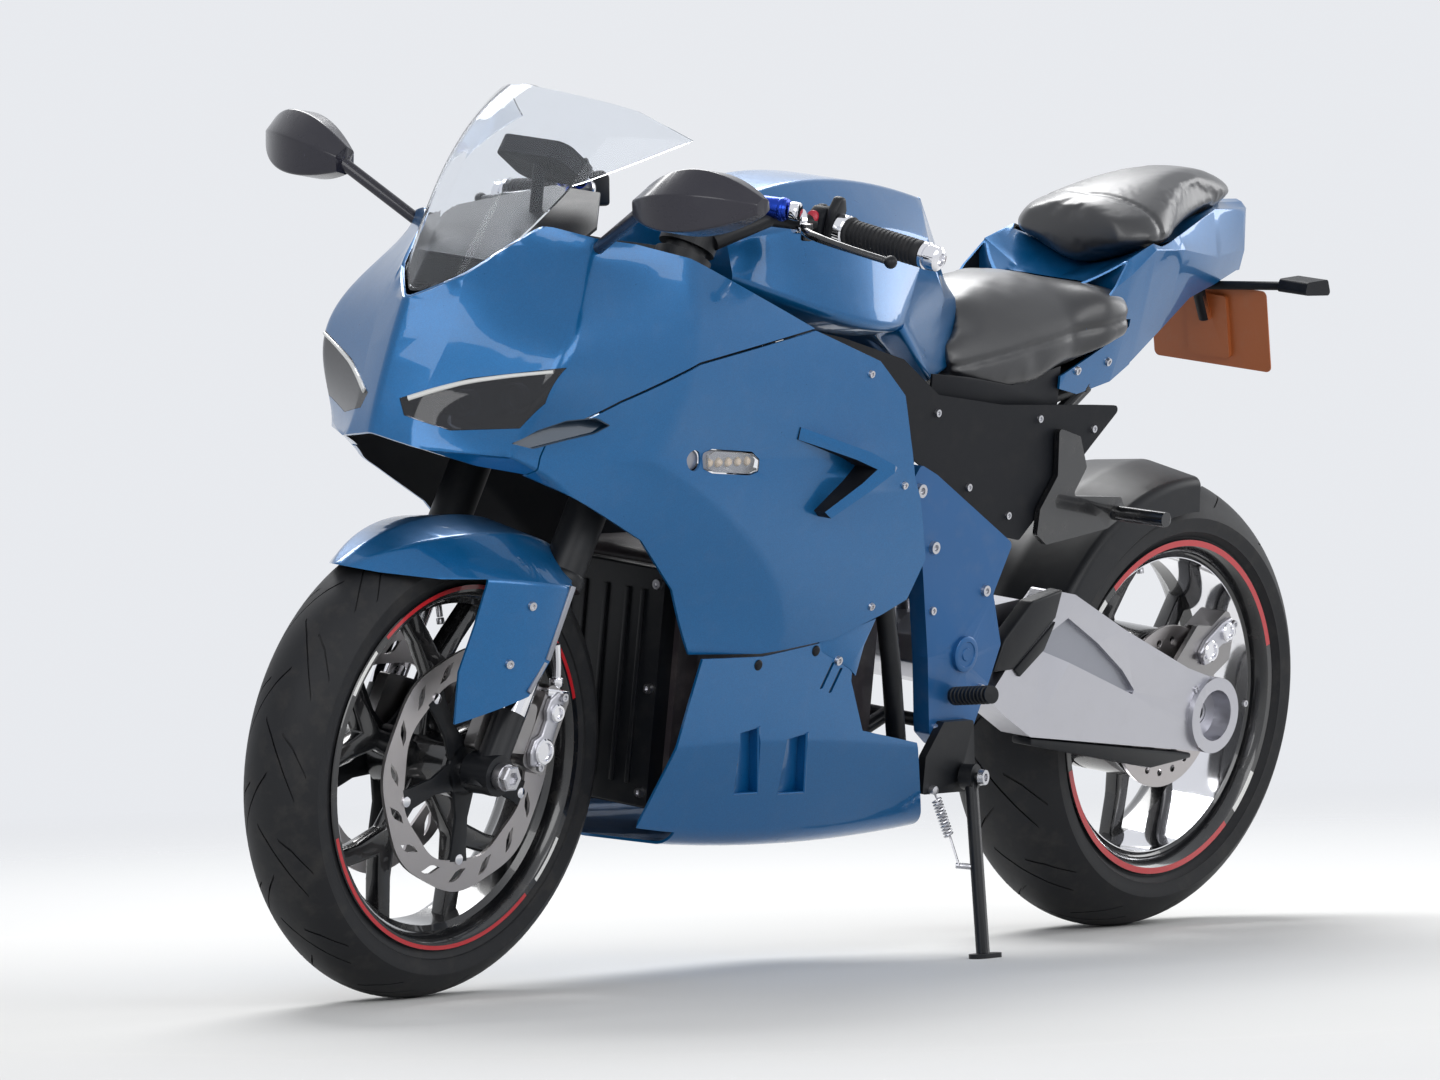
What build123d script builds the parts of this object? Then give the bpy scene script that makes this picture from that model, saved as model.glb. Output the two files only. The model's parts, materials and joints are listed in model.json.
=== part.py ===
"""Electric sport motorcycle with a full fairing, leaning on its side stand."""

import math
import os

from build123d import *

os.makedirs("parts", exist_ok=True)

# Driving sizes in millimetres. The bike is modelled upright: x forward, y to its left, z up,
# with the ground under the rear axle as the origin. It is leaned onto its stand at the end.
wheelbase = 1450
front_radius = 300
rear_radius = 315
front_half_width = 60
rear_half_width = 90
rake = 24.5
trail = 100
fork_offset = 33.4
leg_spread = 105
pivot_x, pivot_z = 565, 422
stand_x, stand_z = 560, 262
lean = 8.5
axle_bore, front_bore, stem_bore, bar_bore = 10, 7, 8, 7.5
wall = 3.5
gap = 0.3

sin_r, cos_r = math.sin(math.radians(rake)), math.cos(math.radians(rake))
front_centre = (wheelbase, 0, front_radius)
rear_centre = (0, 0, rear_radius)
# The fork plane has its origin on the front axle, x forward off the fork, z up along it.
fork = Plane(origin=front_centre, x_dir=(cos_r, 0, sin_r), z_dir=(-sin_r, 0, cos_r))


def side_plane(y):
    """A plane facing left at the given y, with x forward and z up as its own axes."""
    return Plane(origin=(0, y, 0), x_dir=(1, 0, 0), z_dir=(0, -1, 0))


def plate(outline, y_low, y_high, radius=0):
    """A flat plate between two y planes from a side-view outline."""
    with BuildPart() as made:
        with BuildSketch(side_plane(y_high)) as profile:
            Polygon(*outline, align=None)
            if radius:
                fillet(profile.vertices(), radius)
        extrude(amount=y_high - y_low)
    return made.part


def mirrored(shape):
    """The same piece on the right side of the bike."""
    return shape.mirror(Plane.XZ)


def both(shape):
    """The piece on both sides."""
    return shape + mirrored(shape)


def tube(path_points, radius, bend=40):
    """A round tube along a path of points with rounded bends."""
    with BuildPart() as made:
        with BuildLine() as path:
            if len(path_points) > 2:
                FilletPolyline(*path_points, radius=bend)
            else:
                Line(*path_points)
        with BuildSketch(Plane(origin=path.line @ 0, z_dir=path.line % 0)):
            Circle(radius)
        sweep()
    return made.part


def rod(start, end, radius):
    """A straight round bar."""
    return tube([start, end], radius)


def fitted(shape, *neighbours):
    """The largest piece left of a shape once its neighbours are cut away from it."""
    for neighbour in neighbours:
        shape = shape - neighbour
    return Part(shape.solids().sort_by(SortBy.VOLUME)[-1].wrapped)


def skin(levels, radii, thickness, plane_at, side=Side.LEFT):
    """A thin moulded shell lofted through rounded outlines, each mirrored about the middle."""
    with BuildPart() as made:
        for level, half in levels:
            outline = [(x, -y) for x, y in reversed(half) if y > 0.1] + list(half)
            with BuildSketch(plane_at(level)):
                with BuildLine():
                    FilletPolyline(*outline, radius=radii)
                    offset(amount=thickness, side=side)
                make_face()
        loft()
    return made.part


def plane_sections(sections, radius, ruled=False):
    """A closed body lofted through rounded closed outlines, each on a plane of its own."""
    with BuildPart() as made:
        for plane, outline in sections:
            with BuildSketch(plane):
                with BuildLine():
                    FilletPolyline(*outline, radius=radius, close=True)
                make_face()
        loft(ruled=ruled)
    return made.part


def solid_sections(sections, radius, plane_at):
    """A closed body lofted through rounded closed outlines at the given levels."""
    return plane_sections([(plane_at(level), outline) for level, outline in sections], radius)


def cross_plane(x):
    """A plane across the bike at the given x, with y left and z up as its own axes."""
    return Plane(origin=(x, 0, 0), x_dir=(0, 1, 0), z_dir=(1, 0, 0))


def level_plane(z):
    """A level plane at the given height."""
    return Plane.XY.offset(z)


def turned(centre, outline):
    """A ring turned about a wheel's axle from an outline of (y, radius) points."""
    with BuildPart() as made:
        with BuildSketch(Plane(origin=centre, x_dir=(0, 1, 0), z_dir=(1, 0, 0))):
            Polygon(*outline, align=None)
        revolve(axis=Axis(centre, (0, 1, 0)))
    return made.part


def wheel_plane(centre, y):
    """A plane facing left through a wheel at the given y."""
    return Plane(origin=(centre[0], y, centre[2]), x_dir=(1, 0, 0), z_dir=(0, -1, 0))


pieces = {}


# Tyres
# Columns: name, centre, radius, half width, shoulder radius, bead half width
tyre_table = [
    ("front_tyre", front_centre, front_radius, front_half_width, 262, 51),
    ("rear_tyre", rear_centre, rear_radius, rear_half_width, 262, 76),
]
for name, centre, radius, half, shoulder, bead in tyre_table:
    with BuildPart() as tyre:
        with BuildSketch(Plane(origin=centre, x_dir=(0, 1, 0), z_dir=(1, 0, 0))):
            with BuildLine():
                ThreePointArc((-half, shoulder), (0, radius), (half, shoulder))
                ThreePointArc((half, shoulder), (half - 2, 246), (bead, 233))
                Polyline((bead, 233), (bead, 220), (-bead, 220), (-bead, 233))
                ThreePointArc((-bead, 233), (2 - half, 246), (-half, shoulder))
            make_face()
        revolve(axis=Axis(centre, (0, 1, 0)))
    pieces[name] = tyre.part


# Rims, each a deep barrel with five forked spokes and a hub
y_spoke = [(30, 15), (108, 11), (199, 80), (209, 56), (130, 0), (209, -56), (199, -80), (108, -11), (30, -15)]
# Columns: name, centre, bead half width, spoke plane, spoke thickness, hub radius, hub ends, bore
rim_table = [
    ("front_rim", front_centre, 51.3, 12, 24, 36, (66, -66), 12.6),
    ("rear_rim", rear_centre, 76.3, -36, 24, 112, (-36, -60), 60),
]
for name, centre, bead, spoke_y, spoke_depth, hub_radius, hub_ends, bore in rim_table:
    with BuildPart() as rim:
        with BuildSketch(Plane(origin=centre, x_dir=(0, 1, 0), z_dir=(1, 0, 0))):
            Polygon(
                (-bead - 5, 231), (-bead, 231), (-bead, 219.7), (bead, 219.7), (bead, 231), (bead + 5, 231),
                (bead + 5, 223), (bead - 6, 211), (6 - bead, 211), (-bead - 5, 223), align=None,
            )
        revolve(axis=Axis(centre, (0, 1, 0)))
        with BuildSketch(wheel_plane(centre, spoke_y)):
            with PolarLocations(0, 5, start_angle=18):
                Polygon(*y_spoke, align=None)
        extrude(amount=spoke_depth)
        with BuildSketch(wheel_plane(centre, hub_ends[0])):
            Circle(hub_radius)
        extrude(amount=hub_ends[0] - hub_ends[1])
        with BuildSketch(wheel_plane(centre, hub_ends[0])):
            Circle(bore)
        extrude(amount=hub_ends[0] - hub_ends[1], mode=Mode.SUBTRACT)
    pieces[name] = rim.part


# Front brake discs on their carriers, one each side of the hub
with BuildPart() as front_discs:
    for face in (71, -66.3):
        with BuildSketch(wheel_plane(front_centre, face)):
            Circle(155)
            Circle(112, mode=Mode.SUBTRACT)
            with PolarLocations(0, 5):
                Polygon((20, 14), (114, 9), (114, -9), (20, -14), align=None)
            Circle(34)
            Circle(14, mode=Mode.SUBTRACT)
            with PolarLocations(133, 16):
                SlotOverall(26, 6, rotation=35, mode=Mode.SUBTRACT)
        extrude(amount=4.7)
pieces["front_discs"] = front_discs.part

# Rear hub motor, a drum with a bearing bore, and its brake disc
with BuildPart() as hub_motor:
    with BuildSketch(wheel_plane(rear_centre, 52)):
        Circle(104)
    extrude(amount=87.7)
    with BuildSketch(wheel_plane(rear_centre, 68)):
        Circle(46)
    extrude(amount=20)
    with BuildSketch(wheel_plane(rear_centre, -35)):
        Circle(59.5)
    extrude(amount=30)
    with BuildSketch(wheel_plane(rear_centre, 68)):
        Circle(15.4)
    extrude(amount=140, mode=Mode.SUBTRACT)
pieces["hub_motor"] = hub_motor.part

with BuildPart() as rear_disc:
    with BuildSketch(wheel_plane(rear_centre, 73.2)):
        Circle(112)
        Circle(17, mode=Mode.SUBTRACT)
        with PolarLocations(92, 20):
            Circle(5, mode=Mode.SUBTRACT)
        with PolarLocations(58, 6):
            Circle(13, mode=Mode.SUBTRACT)
    extrude(amount=5)
pieces["rear_disc"] = rear_disc.part


# Front fork: dark outer tubes, bright sliders and axle feet
with BuildPart() as fork_legs:
    for side in (leg_spread, -leg_spread):
        with BuildSketch(fork.offset(-22)):
            with Locations((0, side)):
                Circle(21)
        extrude(amount=300)
        with BuildSketch(fork.offset(270)):
            with Locations((0, side)):
                Circle(27)
        extrude(amount=490)
        with BuildSketch(Plane(origin=(wheelbase, side, front_radius), z_dir=(0, 1, 0))):
            Circle(26)
        extrude(amount=22, both=True)
    with BuildSketch(Plane(origin=(wheelbase, 200, front_radius), z_dir=(0, -1, 0))):
        Circle(12)
    extrude(amount=400, mode=Mode.SUBTRACT)
pieces["fork_legs"] = fork_legs.part

with BuildPart() as front_axle:
    with BuildSketch(Plane(origin=(wheelbase, 134, front_radius), z_dir=(0, -1, 0))):
        Circle(11.9)
    extrude(amount=268)
    with BuildSketch(Plane(origin=(wheelbase, 140, front_radius), z_dir=(0, -1, 0))):
        Circle(17)
    extrude(amount=12.5)
pieces["front_axle"] = front_axle.part - rod((wheelbase, 150, front_radius), (wheelbase, -150, front_radius), front_bore)

# Triple clamps with the steering stem between them
with BuildPart() as triple_clamps:
    for height, thickness in ((455, 30), (690, 22)):
        with BuildSketch(fork.offset(height)):
            with Locations((-fork_offset, 0)):
                Circle(34)
            with Locations((0, leg_spread), (0, -leg_spread)):
                Circle(37)
            Polygon((-60, -30), (-60, 30), (-25, 105), (25, 105), (18, 0), (25, -105), (-25, -105), align=None)
            with Locations((0, leg_spread), (0, -leg_spread)):
                Circle(27.2, mode=Mode.SUBTRACT)
        extrude(amount=thickness)
    with BuildSketch(fork.offset(455)):
        with Locations((-fork_offset, 0)):
            Circle(14)
    extrude(amount=250)
    with BuildSketch(fork.offset(455)):
        with Locations((-fork_offset, 0)):
            Circle(stem_bore)
    extrude(amount=60, mode=Mode.SUBTRACT)
pieces["triple_clamps"] = triple_clamps.part


def along_fork(forward, left, up):
    """A point given in the fork's own directions."""
    return (
        wheelbase + forward * cos_r - up * sin_r,
        left,
        front_radius + forward * sin_r + up * cos_r,
    )


# Clip-on bars: a clamp round each fork tube and a bar swept back to the grip
grip_in, grip_out = (985, 232, 992), (972, 346, 976)
with BuildPart() as clip:
    with BuildSketch(fork.offset(722)):
        with Locations((0, leg_spread)):
            Circle(37)
            Circle(27.2, mode=Mode.SUBTRACT)
    extrude(amount=30)
grip_axis = Vector(*grip_out) - Vector(*grip_in)
bar_bend = Vector(*grip_in) - grip_axis.normalized() * 36
clip_on = clip.part + tube(
    [along_fork(-6, leg_spread + 33, 737), (1062, 164, 1002), bar_bend, grip_out], 11, 12
)
with BuildPart() as clamp_hole:
    with BuildSketch(fork.offset(700)):
        with Locations((0, leg_spread)):
            Circle(27.2)
    extrude(amount=80)
clip_on = clip_on - clamp_hole.part - rod(grip_out, Vector(*grip_out) - grip_axis.normalized() * 30, bar_bore)
pieces["handlebars"] = both(clip_on)

with BuildPart() as grip:
    with BuildSketch(Plane(origin=grip_in, z_dir=grip_axis)):
        Circle(17)
        Circle(11.2, mode=Mode.SUBTRACT)
    extrude(amount=grip_axis.length - 1)
pieces["grips"] = both(grip.part)

# Brake and clutch levers with their perches on the bars
with BuildPart() as perch:
    with BuildSketch(Plane(origin=Vector(*grip_in) - grip_axis.normalized() * 18, z_dir=grip_axis)):
        Circle(17)
    extrude(amount=15)
lever = perch.part + rod((999, 222, 990), (1035, 230, 982), 7)
lever = lever + tube([(1035, 222, 982), (1052, 262, 976), (1030, 352, 962)], 5, 16)
with BuildPart() as bar_hole:
    with BuildSketch(Plane(origin=Vector(*grip_in) - grip_axis.normalized() * 24, z_dir=grip_axis)):
        Circle(11.3)
    extrude(amount=60)
pieces["levers"] = both(lever - bar_hole.part)


# Front mudguard: a thin shell over the tyre with blades outside the fork legs
guard_levels = [
    (1325, [(134, 500), (132, 530), (78, 577), (0, 591)]),
    (1450, [(139, 340), (137, 545), (78, 599), (0, 611)]),
    (1560, [(92, 340), (84, 546), (48, 584), (0, 593)]),
    (1640, [(30, 500), (26, 536), (14, 552), (0, 559)]),
]


def arch(levels, radii, thickness):
    """A thin shell lofted along x through outlines over the top of the bike's middle."""
    with BuildPart() as made:
        for x, half in levels:
            outline = [(-y, z) for y, z in half if y > 0.1] + [(y, z) for y, z in reversed(half)]
            with BuildSketch(cross_plane(x)):
                with BuildLine():
                    FilletPolyline(*outline, radius=radii)
                    offset(amount=thickness, side=Side.RIGHT)
                make_face()
        loft()
    return made.part


guard = arch(guard_levels, [10, 16, 20, 16, 10], 3)
guard_side = plate(
    [(1359, 541), (1398, 444), (1427, 402), (1524, 366), (1523, 431), (1507, 491), (1494, 548), (1550, 546), (1612, 550),
     (1645, 555), (1700, 700), (1290, 700), (1300, 560)], -200, 200,
)
guard = guard & guard_side
with BuildPart() as fork_room:
    with BuildSketch(fork.offset(100)):
        with Locations((0, leg_spread), (0, -leg_spread)):
            Circle(27.6)
    extrude(amount=300)
pieces["front_mudguard"] = guard - fork_room.part

# Front brake calipers behind the fork legs
with BuildPart() as caliper:
    with BuildSketch(wheel_plane(front_centre, 96)):
        with Locations(Location((-118, 48), 112)):
            Rectangle(110, 48)
    extrude(amount=46)
    fillet(caliper.edges().filter_by(Axis.Y), 12)
    with BuildSketch(wheel_plane(front_centre, 75)):
        Circle(163)
    extrude(amount=12, mode=Mode.SUBTRACT)
caliper_lug = plate([(-90 + wheelbase, 318), (-100 + wheelbase, 380), (-10 + wheelbase, 400), (20 + wheelbase, 330)], 78, 95, 8)
pieces["front_calipers"] = both(fitted(caliper.part + caliper_lug, pieces["fork_legs"]))


# Main frame: head tube, upper rails, down tubes, lower cross tubes and seat rails
head_low, head_high = 487, 688
with BuildPart() as head_tube:
    with BuildSketch(fork.offset(head_low)):
        with Locations((-fork_offset, 0)):
            Circle(29)
    extrude(amount=head_high - head_low)
frame = head_tube.part
for side in (1, -1):
    frame = frame + tube(
        [along_fork(-46, 14 * side, 640), (1050, 80 * side, 800), (745, 112 * side, 655), (702, 139 * side, 420),
         (655, 138 * side, 240)], 13, 60
    )
    frame = frame + tube([along_fork(-46, 14 * side, 520), (1020, 92 * side, 640), (870, 103 * side, 722)], 11, 40)
    frame = frame + tube([(790, 108 * side, 676), (470, 92 * side, 722), (250, 80 * side, 770), (60, 60 * side, 900)], 11, 60)
    frame = frame + tube([(724, 118 * side, 540), (480, 100 * side, 630), (262, 82 * side, 762)], 10, 60)
for x, z, reach in (
    (745, 655, 112), (671, 302, 138), (655, 240, 138), (470, 722, 92), (262, 764, 80), (60, 900, 60), (540, 606, 106),
    (900, 729, 96),
):
    frame = frame + rod((x, -reach, z), (x, reach, z), 11)
for x, z, reach in ((690, 648, 125.7), (600, 330, 125.7)):
    frame = frame + rod((x, -reach, z), (x, reach, z), 9)
for side in (90, -90):
    frame = frame + rod((650, side, 224.7), (1085, side, 224.7), 10)
for side in (60, -60):
    frame = frame + rod((600, side, 330), (671, side, 302), 10) + rod((690, side, 648), (745, side, 655), 10)
with BuildPart() as stem_room:
    with BuildSketch(fork.offset(head_low - 5)):
        with Locations((-fork_offset, 0)):
            Circle(14.6)
    extrude(amount=head_high - head_low + 10)
frame = frame - stem_room.part

# Pivot plates each side of the swingarm
pivot_outline = [
    (716, 640), (690, 676), (655, 662), (480, 566), (512, 500), (486, 432), (505, 380), (532, 318), (596, 300),
    (622, 318), (640, 420), (668, 540),
]
pivot_plate = plate(pivot_outline, 126, 152, 8)
with BuildPart() as plug:
    with BuildSketch(side_plane(157)):
        with Locations((pivot_x, pivot_z)):
            Circle(24)
    extrude(amount=10)
with BuildPart() as pivot_hole:
    with BuildSketch(side_plane(150)):
        with Locations((pivot_x, pivot_z)):
            Circle(12.2)
    extrude(amount=40)
pivot_plate = pivot_plate + plug.part - pivot_hole.part
pieces["pivot_plate_left"] = pivot_plate
pieces["pivot_plate_right"] = mirrored(pivot_plate)
pieces["pivot_axle"] = rod((pivot_x, -149.5, pivot_z), (pivot_x, 149.5, pivot_z), 12)

# Battery box, a plain block for the heavy pack, with its front cover
battery_box = plate(
    [(690, 560), (1095, 560), (1095, 235), (772, 235), (690, 292)], -104, 104, 14
)
front_cover = plate([(1095.3, 545), (1122, 545), (1122, 236), (1095.3, 236)], -95, 95, 4)
pieces["front_cover"] = front_cover

# Polished swingarm on the left, with its pivot tube and the ring that carries the axle
arm_side = [
    (500, 360), (468, 338), (400, 303), (24, 266), (-30, 276), (-52, 315), (-34, 356), (62, 382), (214, 441),
    (330, 492), (362, 497), (462, 402),
]
arm_front = [(392, 484), (404, 340), (470, 352), (575, 380), (604, 405), (604, 440), (575, 464)]
swingarm = plate(arm_side, 100, 150, 8) + plate(arm_front, 60, 112, 10)
with BuildPart() as arm_details:
    with BuildSketch(side_plane(158)):
        with Locations((0, rear_radius)):
            Circle(52)
    extrude(amount=50)
swingarm = swingarm + arm_details.part
swingarm = swingarm + rod((pivot_x, -112, pivot_z), (pivot_x, 112, pivot_z), 32)
swingarm = swingarm + plate([(440, 352), (575, 395), (575, 450), (440, 470)], -100, 70, 8)
with BuildPart() as arm_cuts:
    with BuildSketch(side_plane(160)):
        with Locations((0, rear_radius)):
            Circle(35)
    extrude(amount=30)
    with BuildSketch(side_plane(200)):
        with Locations((0, rear_radius)):
            Circle(15.2)
    extrude(amount=140)
    with BuildSketch(side_plane(200)):
        with Locations((pivot_x, pivot_z)):
            Circle(12.3)
    extrude(amount=400)
arm_recess = plate([(398, 420), (384, 440), (341, 461), (270, 424), (210, 385), (168, 346), (329, 400)], 142, 160, 4)
swingarm = swingarm - arm_cuts.part - arm_recess
pieces["swingarm"] = swingarm
rear_axle = rod((0, 129, rear_radius), (0, -78, rear_radius), 14.9)
pieces["rear_axle"] = rear_axle - rod((0, 140, rear_radius), (0, 89, rear_radius), axle_bore)

# Rear caliper on its bracket above the arm, and the mudguard over the rear tyre
with BuildPart() as rear_caliper:
    with BuildSketch(wheel_plane(rear_centre, 99.7)):
        with Locations(Location((-62, 92), -35)):
            Rectangle(90, 44)
    extrude(amount=42)
    fillet(rear_caliper.edges().filter_by(Axis.Y), 10)
    with BuildSketch(wheel_plane(rear_centre, 79)):
        Circle(120)
    extrude(amount=16, mode=Mode.SUBTRACT)
caliper_bracket = plate([(-104, 424), (-20, 430), (30, 372), (-10, 344), (-46, 346), (-100, 380)], 92.5, 99.7, 6)
pieces["rear_caliper"] = rear_caliper.part + caliper_bracket

with BuildPart() as hugger:
    with BuildSketch(Plane(origin=rear_centre, x_dir=(0, 1, 0), z_dir=(1, 0, 0))):
        with BuildLine():
            FilletPolyline((-99.7, 272), (-97, 318), (0, 332), (97, 318), (99.7, 272), radius=[14, 60, 14])
            offset(amount=3, side=Side.RIGHT)
        make_face()
    revolve(axis=Axis(rear_centre, (0, 1, 0)), revolution_arc=75)
pieces["hugger"] = hugger.part
rear_shock = rod((500, 0, 440), (535, 0, 594), 12) + rod((508, 0, 478), (529, 0, 570), 26)
pieces["rear_shock"] = fitted(rear_shock, swingarm, frame)


# Body shell: one outer form for nose and sides, cut into its panels along their seams
# Columns: height, then the half outline from the nose's middle to the rear edge
shell_levels = [
    (440, [(1330, 0), (1310, 70), (1195, 160), (1000, 190), (735, 195)]),
    (560, [(1440, 0), (1420, 70), (1330, 162), (1060, 212), (735, 216)]),
    (650, [(1530, 0), (1500, 60), (1410, 172), (1190, 218), (735, 224)]),
    (705, [(1607, 0), (1585, 58), (1508, 150), (1300, 212), (735, 228)]),
    (757, [(1598, 0), (1574, 50), (1500, 174), (1280, 220), (735, 228)]),
    (821, [(1582, 0), (1550, 60), (1484, 198), (1260, 224), (735, 224)]),
    (880, [(1563, 0), (1528, 60), (1448, 188), (1250, 216), (735, 212)]),
    (985, [(1500, 0), (1460, 50), (1380, 156), (1220, 190), (735, 190)]),
]
shell_radii = [150, 24, 36, 16, 36, 24, 150]
lower_shell = skin(shell_levels[:4], shell_radii, wall, level_plane)
upper_shell = skin(shell_levels[3:], shell_radii, wall, level_plane)
shell = lower_shell + upper_shell

# Side-view outlines of the panels on that form
cowl_outline = [
    (1700, 700), (1610, 722), (1583, 707), (1515, 688), (1472, 682), (1463, 736), (1374, 780), (1248, 828),
    (1017, 867), (1066, 886), (1159, 922), (1247, 955), (1323, 970), (1383, 976), (1420, 986), (1470, 950),
    (1563, 882), (1700, 882),
]
fairing_outline = [
    (1470, 680), (1461, 733), (1372, 777), (1246, 825), (1014, 864), (886, 824), (832, 779), (793, 670), (777, 645),
    (746, 563), (768, 510), (812, 491), (901, 461), (1030, 446), (1150, 447), (1206, 533), (1283, 599), (1385, 645),
]
cowl_cut = plate(cowl_outline, -300, 300)
front_cowl = shell & cowl_cut
fairing_cut = plate(fairing_outline, 20, 300)
side_fairing = shell & fairing_cut
signal_outline = [(1196, 686), (1214, 692), (1216, 712), (1200, 717), (1122, 712), (1106, 702), (1108, 686), (1124, 682)]
indicator = side_fairing & plate(signal_outline, 100, 300, 4)
signal_hole = plate(signal_outline, 100, 300, 4)
signal_dimple = rod((1232, 200, 703), (1232, 240, 703), 13)
side_fairing = side_fairing - signal_hole - signal_dimple
winglet_side = [(1036, 742), (985, 728), (929, 712), (884, 692), (925, 662), (980, 626), (990, 634), (938, 672), (918, 690),
                (950, 702), (1000, 716), (1038, 726)]
with BuildPart() as winglet_plan:
    with BuildSketch(Plane.XY.offset(600)):
        Polygon((1042, 218.5), (1042, 222), (892, 268), (882, 264), (882, 221), align=None)
    extrude(amount=200)
winglet = plate(winglet_side, 200, 300) & winglet_plan.part
side_fairing = side_fairing + winglet
pieces["side_fairing_left"] = side_fairing
pieces["side_fairing_right"] = mirrored(side_fairing)

# Headlight openings in the nose, with a clear cover set back in each
lamp_outline = [(26, 764), (97, 797), (199, 822), (184, 776), (159, 742), (88, 731), (36, 744)]
with BuildPart() as lamp_opening:
    with BuildSketch(cross_plane(1700)):
        Polygon(*lamp_outline, align=None)
    extrude(amount=-330)
lamp_cut = lamp_opening.part
with BuildPart() as lamp_inset:
    with BuildSketch(cross_plane(1700)):
        Polygon(*lamp_outline, align=None)
        offset(amount=-gap, kind=Kind.INTERSECTION)
    extrude(amount=-330)
headlight = front_cowl & lamp_inset.part
front_cowl = front_cowl - lamp_cut - mirrored(lamp_cut)
pieces["front_cowl"] = front_cowl
pieces["headlight_left"] = headlight
pieces["headlight_right"] = mirrored(headlight)

# Belly pan
belly_levels = [
    (600, [(184, 318), (182, 296), (152, 196), (0, 188)]),
    (940, [(192, 468), (189, 330), (150, 186), (0, 176)]),
    (1210, [(188, 452), (182, 330), (146, 206), (0, 196)]),
]
with BuildPart() as belly:
    for x, half in belly_levels:
        outline = [(-y, z) for y, z in half if y > 0.1] + [(y, z) for y, z in reversed(half)]
        with BuildSketch(cross_plane(x)):
            with BuildLine():
                FilletPolyline(*outline, radius=[30, 40, 60, 40, 30])
                offset(amount=wall, side=Side.LEFT)
            make_face()
    loft()
belly_cut = plate(
    [(1148, 444), (1030, 443), (901, 458), (846, 474), (845, 404), (810, 337), (690, 315), (612, 180), (760, 130),
     (1240, 150), (1212, 200), (1180, 318), (1162, 392)], -300, 300
)
wheel_room = plate([(1128, 100), (1260, 100), (1260, 290), (1150, 290), (1128, 240)], -151, 151)
belly_pan = (belly.part & belly_cut) - wheel_room
pieces["belly_pan"] = belly_pan

# Windscreen, a thin clear bubble
screen_levels = [
    (876, [(1568, 0), (1540, 34), (1474, 84), (1380, 124)]),
    (1000, [(1494, 0), (1470, 52), (1402, 110), (1270, 148)]),
    (1095, [(1434, 0), (1412, 48), (1342, 106), (1195, 146)]),
    (1156, [(1352, 0), (1334, 40), (1286, 84), (1185, 110)]),
]
screen = skin(screen_levels, [60, 40, 28, 40, 60], 3, level_plane)
screen_cut = plate(
    [(1563, 884), (1600, 900), (1400, 1200), (1356, 1150), (1270, 1130), (1201, 1097), (1385, 1036), (1472, 940)], -300, 300
)
windscreen = fitted(screen & screen_cut, front_cowl)
pieces["windscreen"] = windscreen

# Dark panel and instrument under the screen
with BuildPart() as cockpit:
    with BuildSketch(Plane(origin=(1400, 0, 962), x_dir=(0, 1, 0), z_dir=(0.34, 0, 0.94))):
        Polygon((-150, -80), (-118, 60), (-40, 160), (40, 160), (118, 60), (150, -80), align=None)
    extrude(amount=4)
inner_cowl = fitted(cockpit.part, shell, windscreen)
with BuildPart() as instrument:
    with BuildSketch(Plane(origin=(1322, 0, 1046), x_dir=(0, 1, 0), z_dir=(-0.5, 0, 0.866))):
        RectangleRounded(112, 74, 18)
    extrude(amount=24)
pieces["instrument"] = instrument.part + fitted(rod((1326, 0, 980), (1326, 0, 1056), 8), inner_cowl)
pieces["inner_cowl"] = inner_cowl

# Tank, a body lofted along its length with a fold where its sides turn in towards the seat
tank_front = [
    (cross_plane(1050), [(66, 882), (104, 915), (86, 965), (38, 985), (-38, 985), (-86, 965), (-104, 915), (-66, 882)]),
    (cross_plane(900), [(104, 852), (150, 872), (116, 985), (54, 1034), (-54, 1034), (-116, 985), (-150, 872), (-104, 852)]),
]
fold_plane = Plane(origin=(742, 0, 850), x_dir=(0, 1, 0), z_dir=(0.77, 0, 0.64))
tail_plane = Plane(origin=(628, 0, 776), x_dir=(0, 1, 0), z_dir=(0.9, 0, 0.43))
fold = (fold_plane, [(100, -12), (140, 2), (94, 150), (44, 212), (-44, 212), (-94, 150), (-140, 2), (-100, -12)])
tank_rear = [
    fold,
    (tail_plane, [(84, -4), (104, 4), (76, 120), (34, 186), (-34, 186), (-76, 120), (-104, 4), (-84, -4)]),
    (cross_plane(520), [(54, 796), (68, 802), (50, 880), (22, 908), (-22, 908), (-50, 880), (-68, 802), (-54, 796)]),
]
tank_tail = plane_sections(tank_rear, 6, True)
tank = plane_sections([*tank_front, fold], 14) + tank_tail
pieces["tank"] = tank

# Black side covers between tank, seat and fairing
cover_outline = [
    (1040, 872), (850, 842), (720, 812), (640, 764), (500, 748), (300, 744), (240, 742), (300, 690), (440, 566),
    (476, 572), (560, 616), (700, 690), (800, 770),
]
side_cover = plate(cover_outline, 127, 131, 6) - rod((366, 120, 699), (366, 140, 699), 9.5)
pieces["side_cover_left"] = side_cover
pieces["side_cover_right"] = mirrored(side_cover)

# Rider's and pillion's seats
seat_sections = [
    (580, [(96, 784), (112, 792), (96, 822), (40, 850), (-40, 850), (-96, 822), (-112, 792), (-96, 784)]),
    (468, [(118, 760), (136, 771), (118, 824), (58, 894), (-58, 894), (-118, 824), (-136, 771), (-118, 760)]),
    (350, [(126, 792), (143, 806), (122, 856), (66, 907), (-66, 907), (-122, 856), (-143, 806), (-126, 792)]),
    (222, [(106, 838), (121, 850), (108, 880), (60, 897), (-60, 897), (-108, 880), (-121, 850), (-106, 838)]),
]
rider_seat = fitted(solid_sections(seat_sections, 8, cross_plane), tank_tail)
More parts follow.
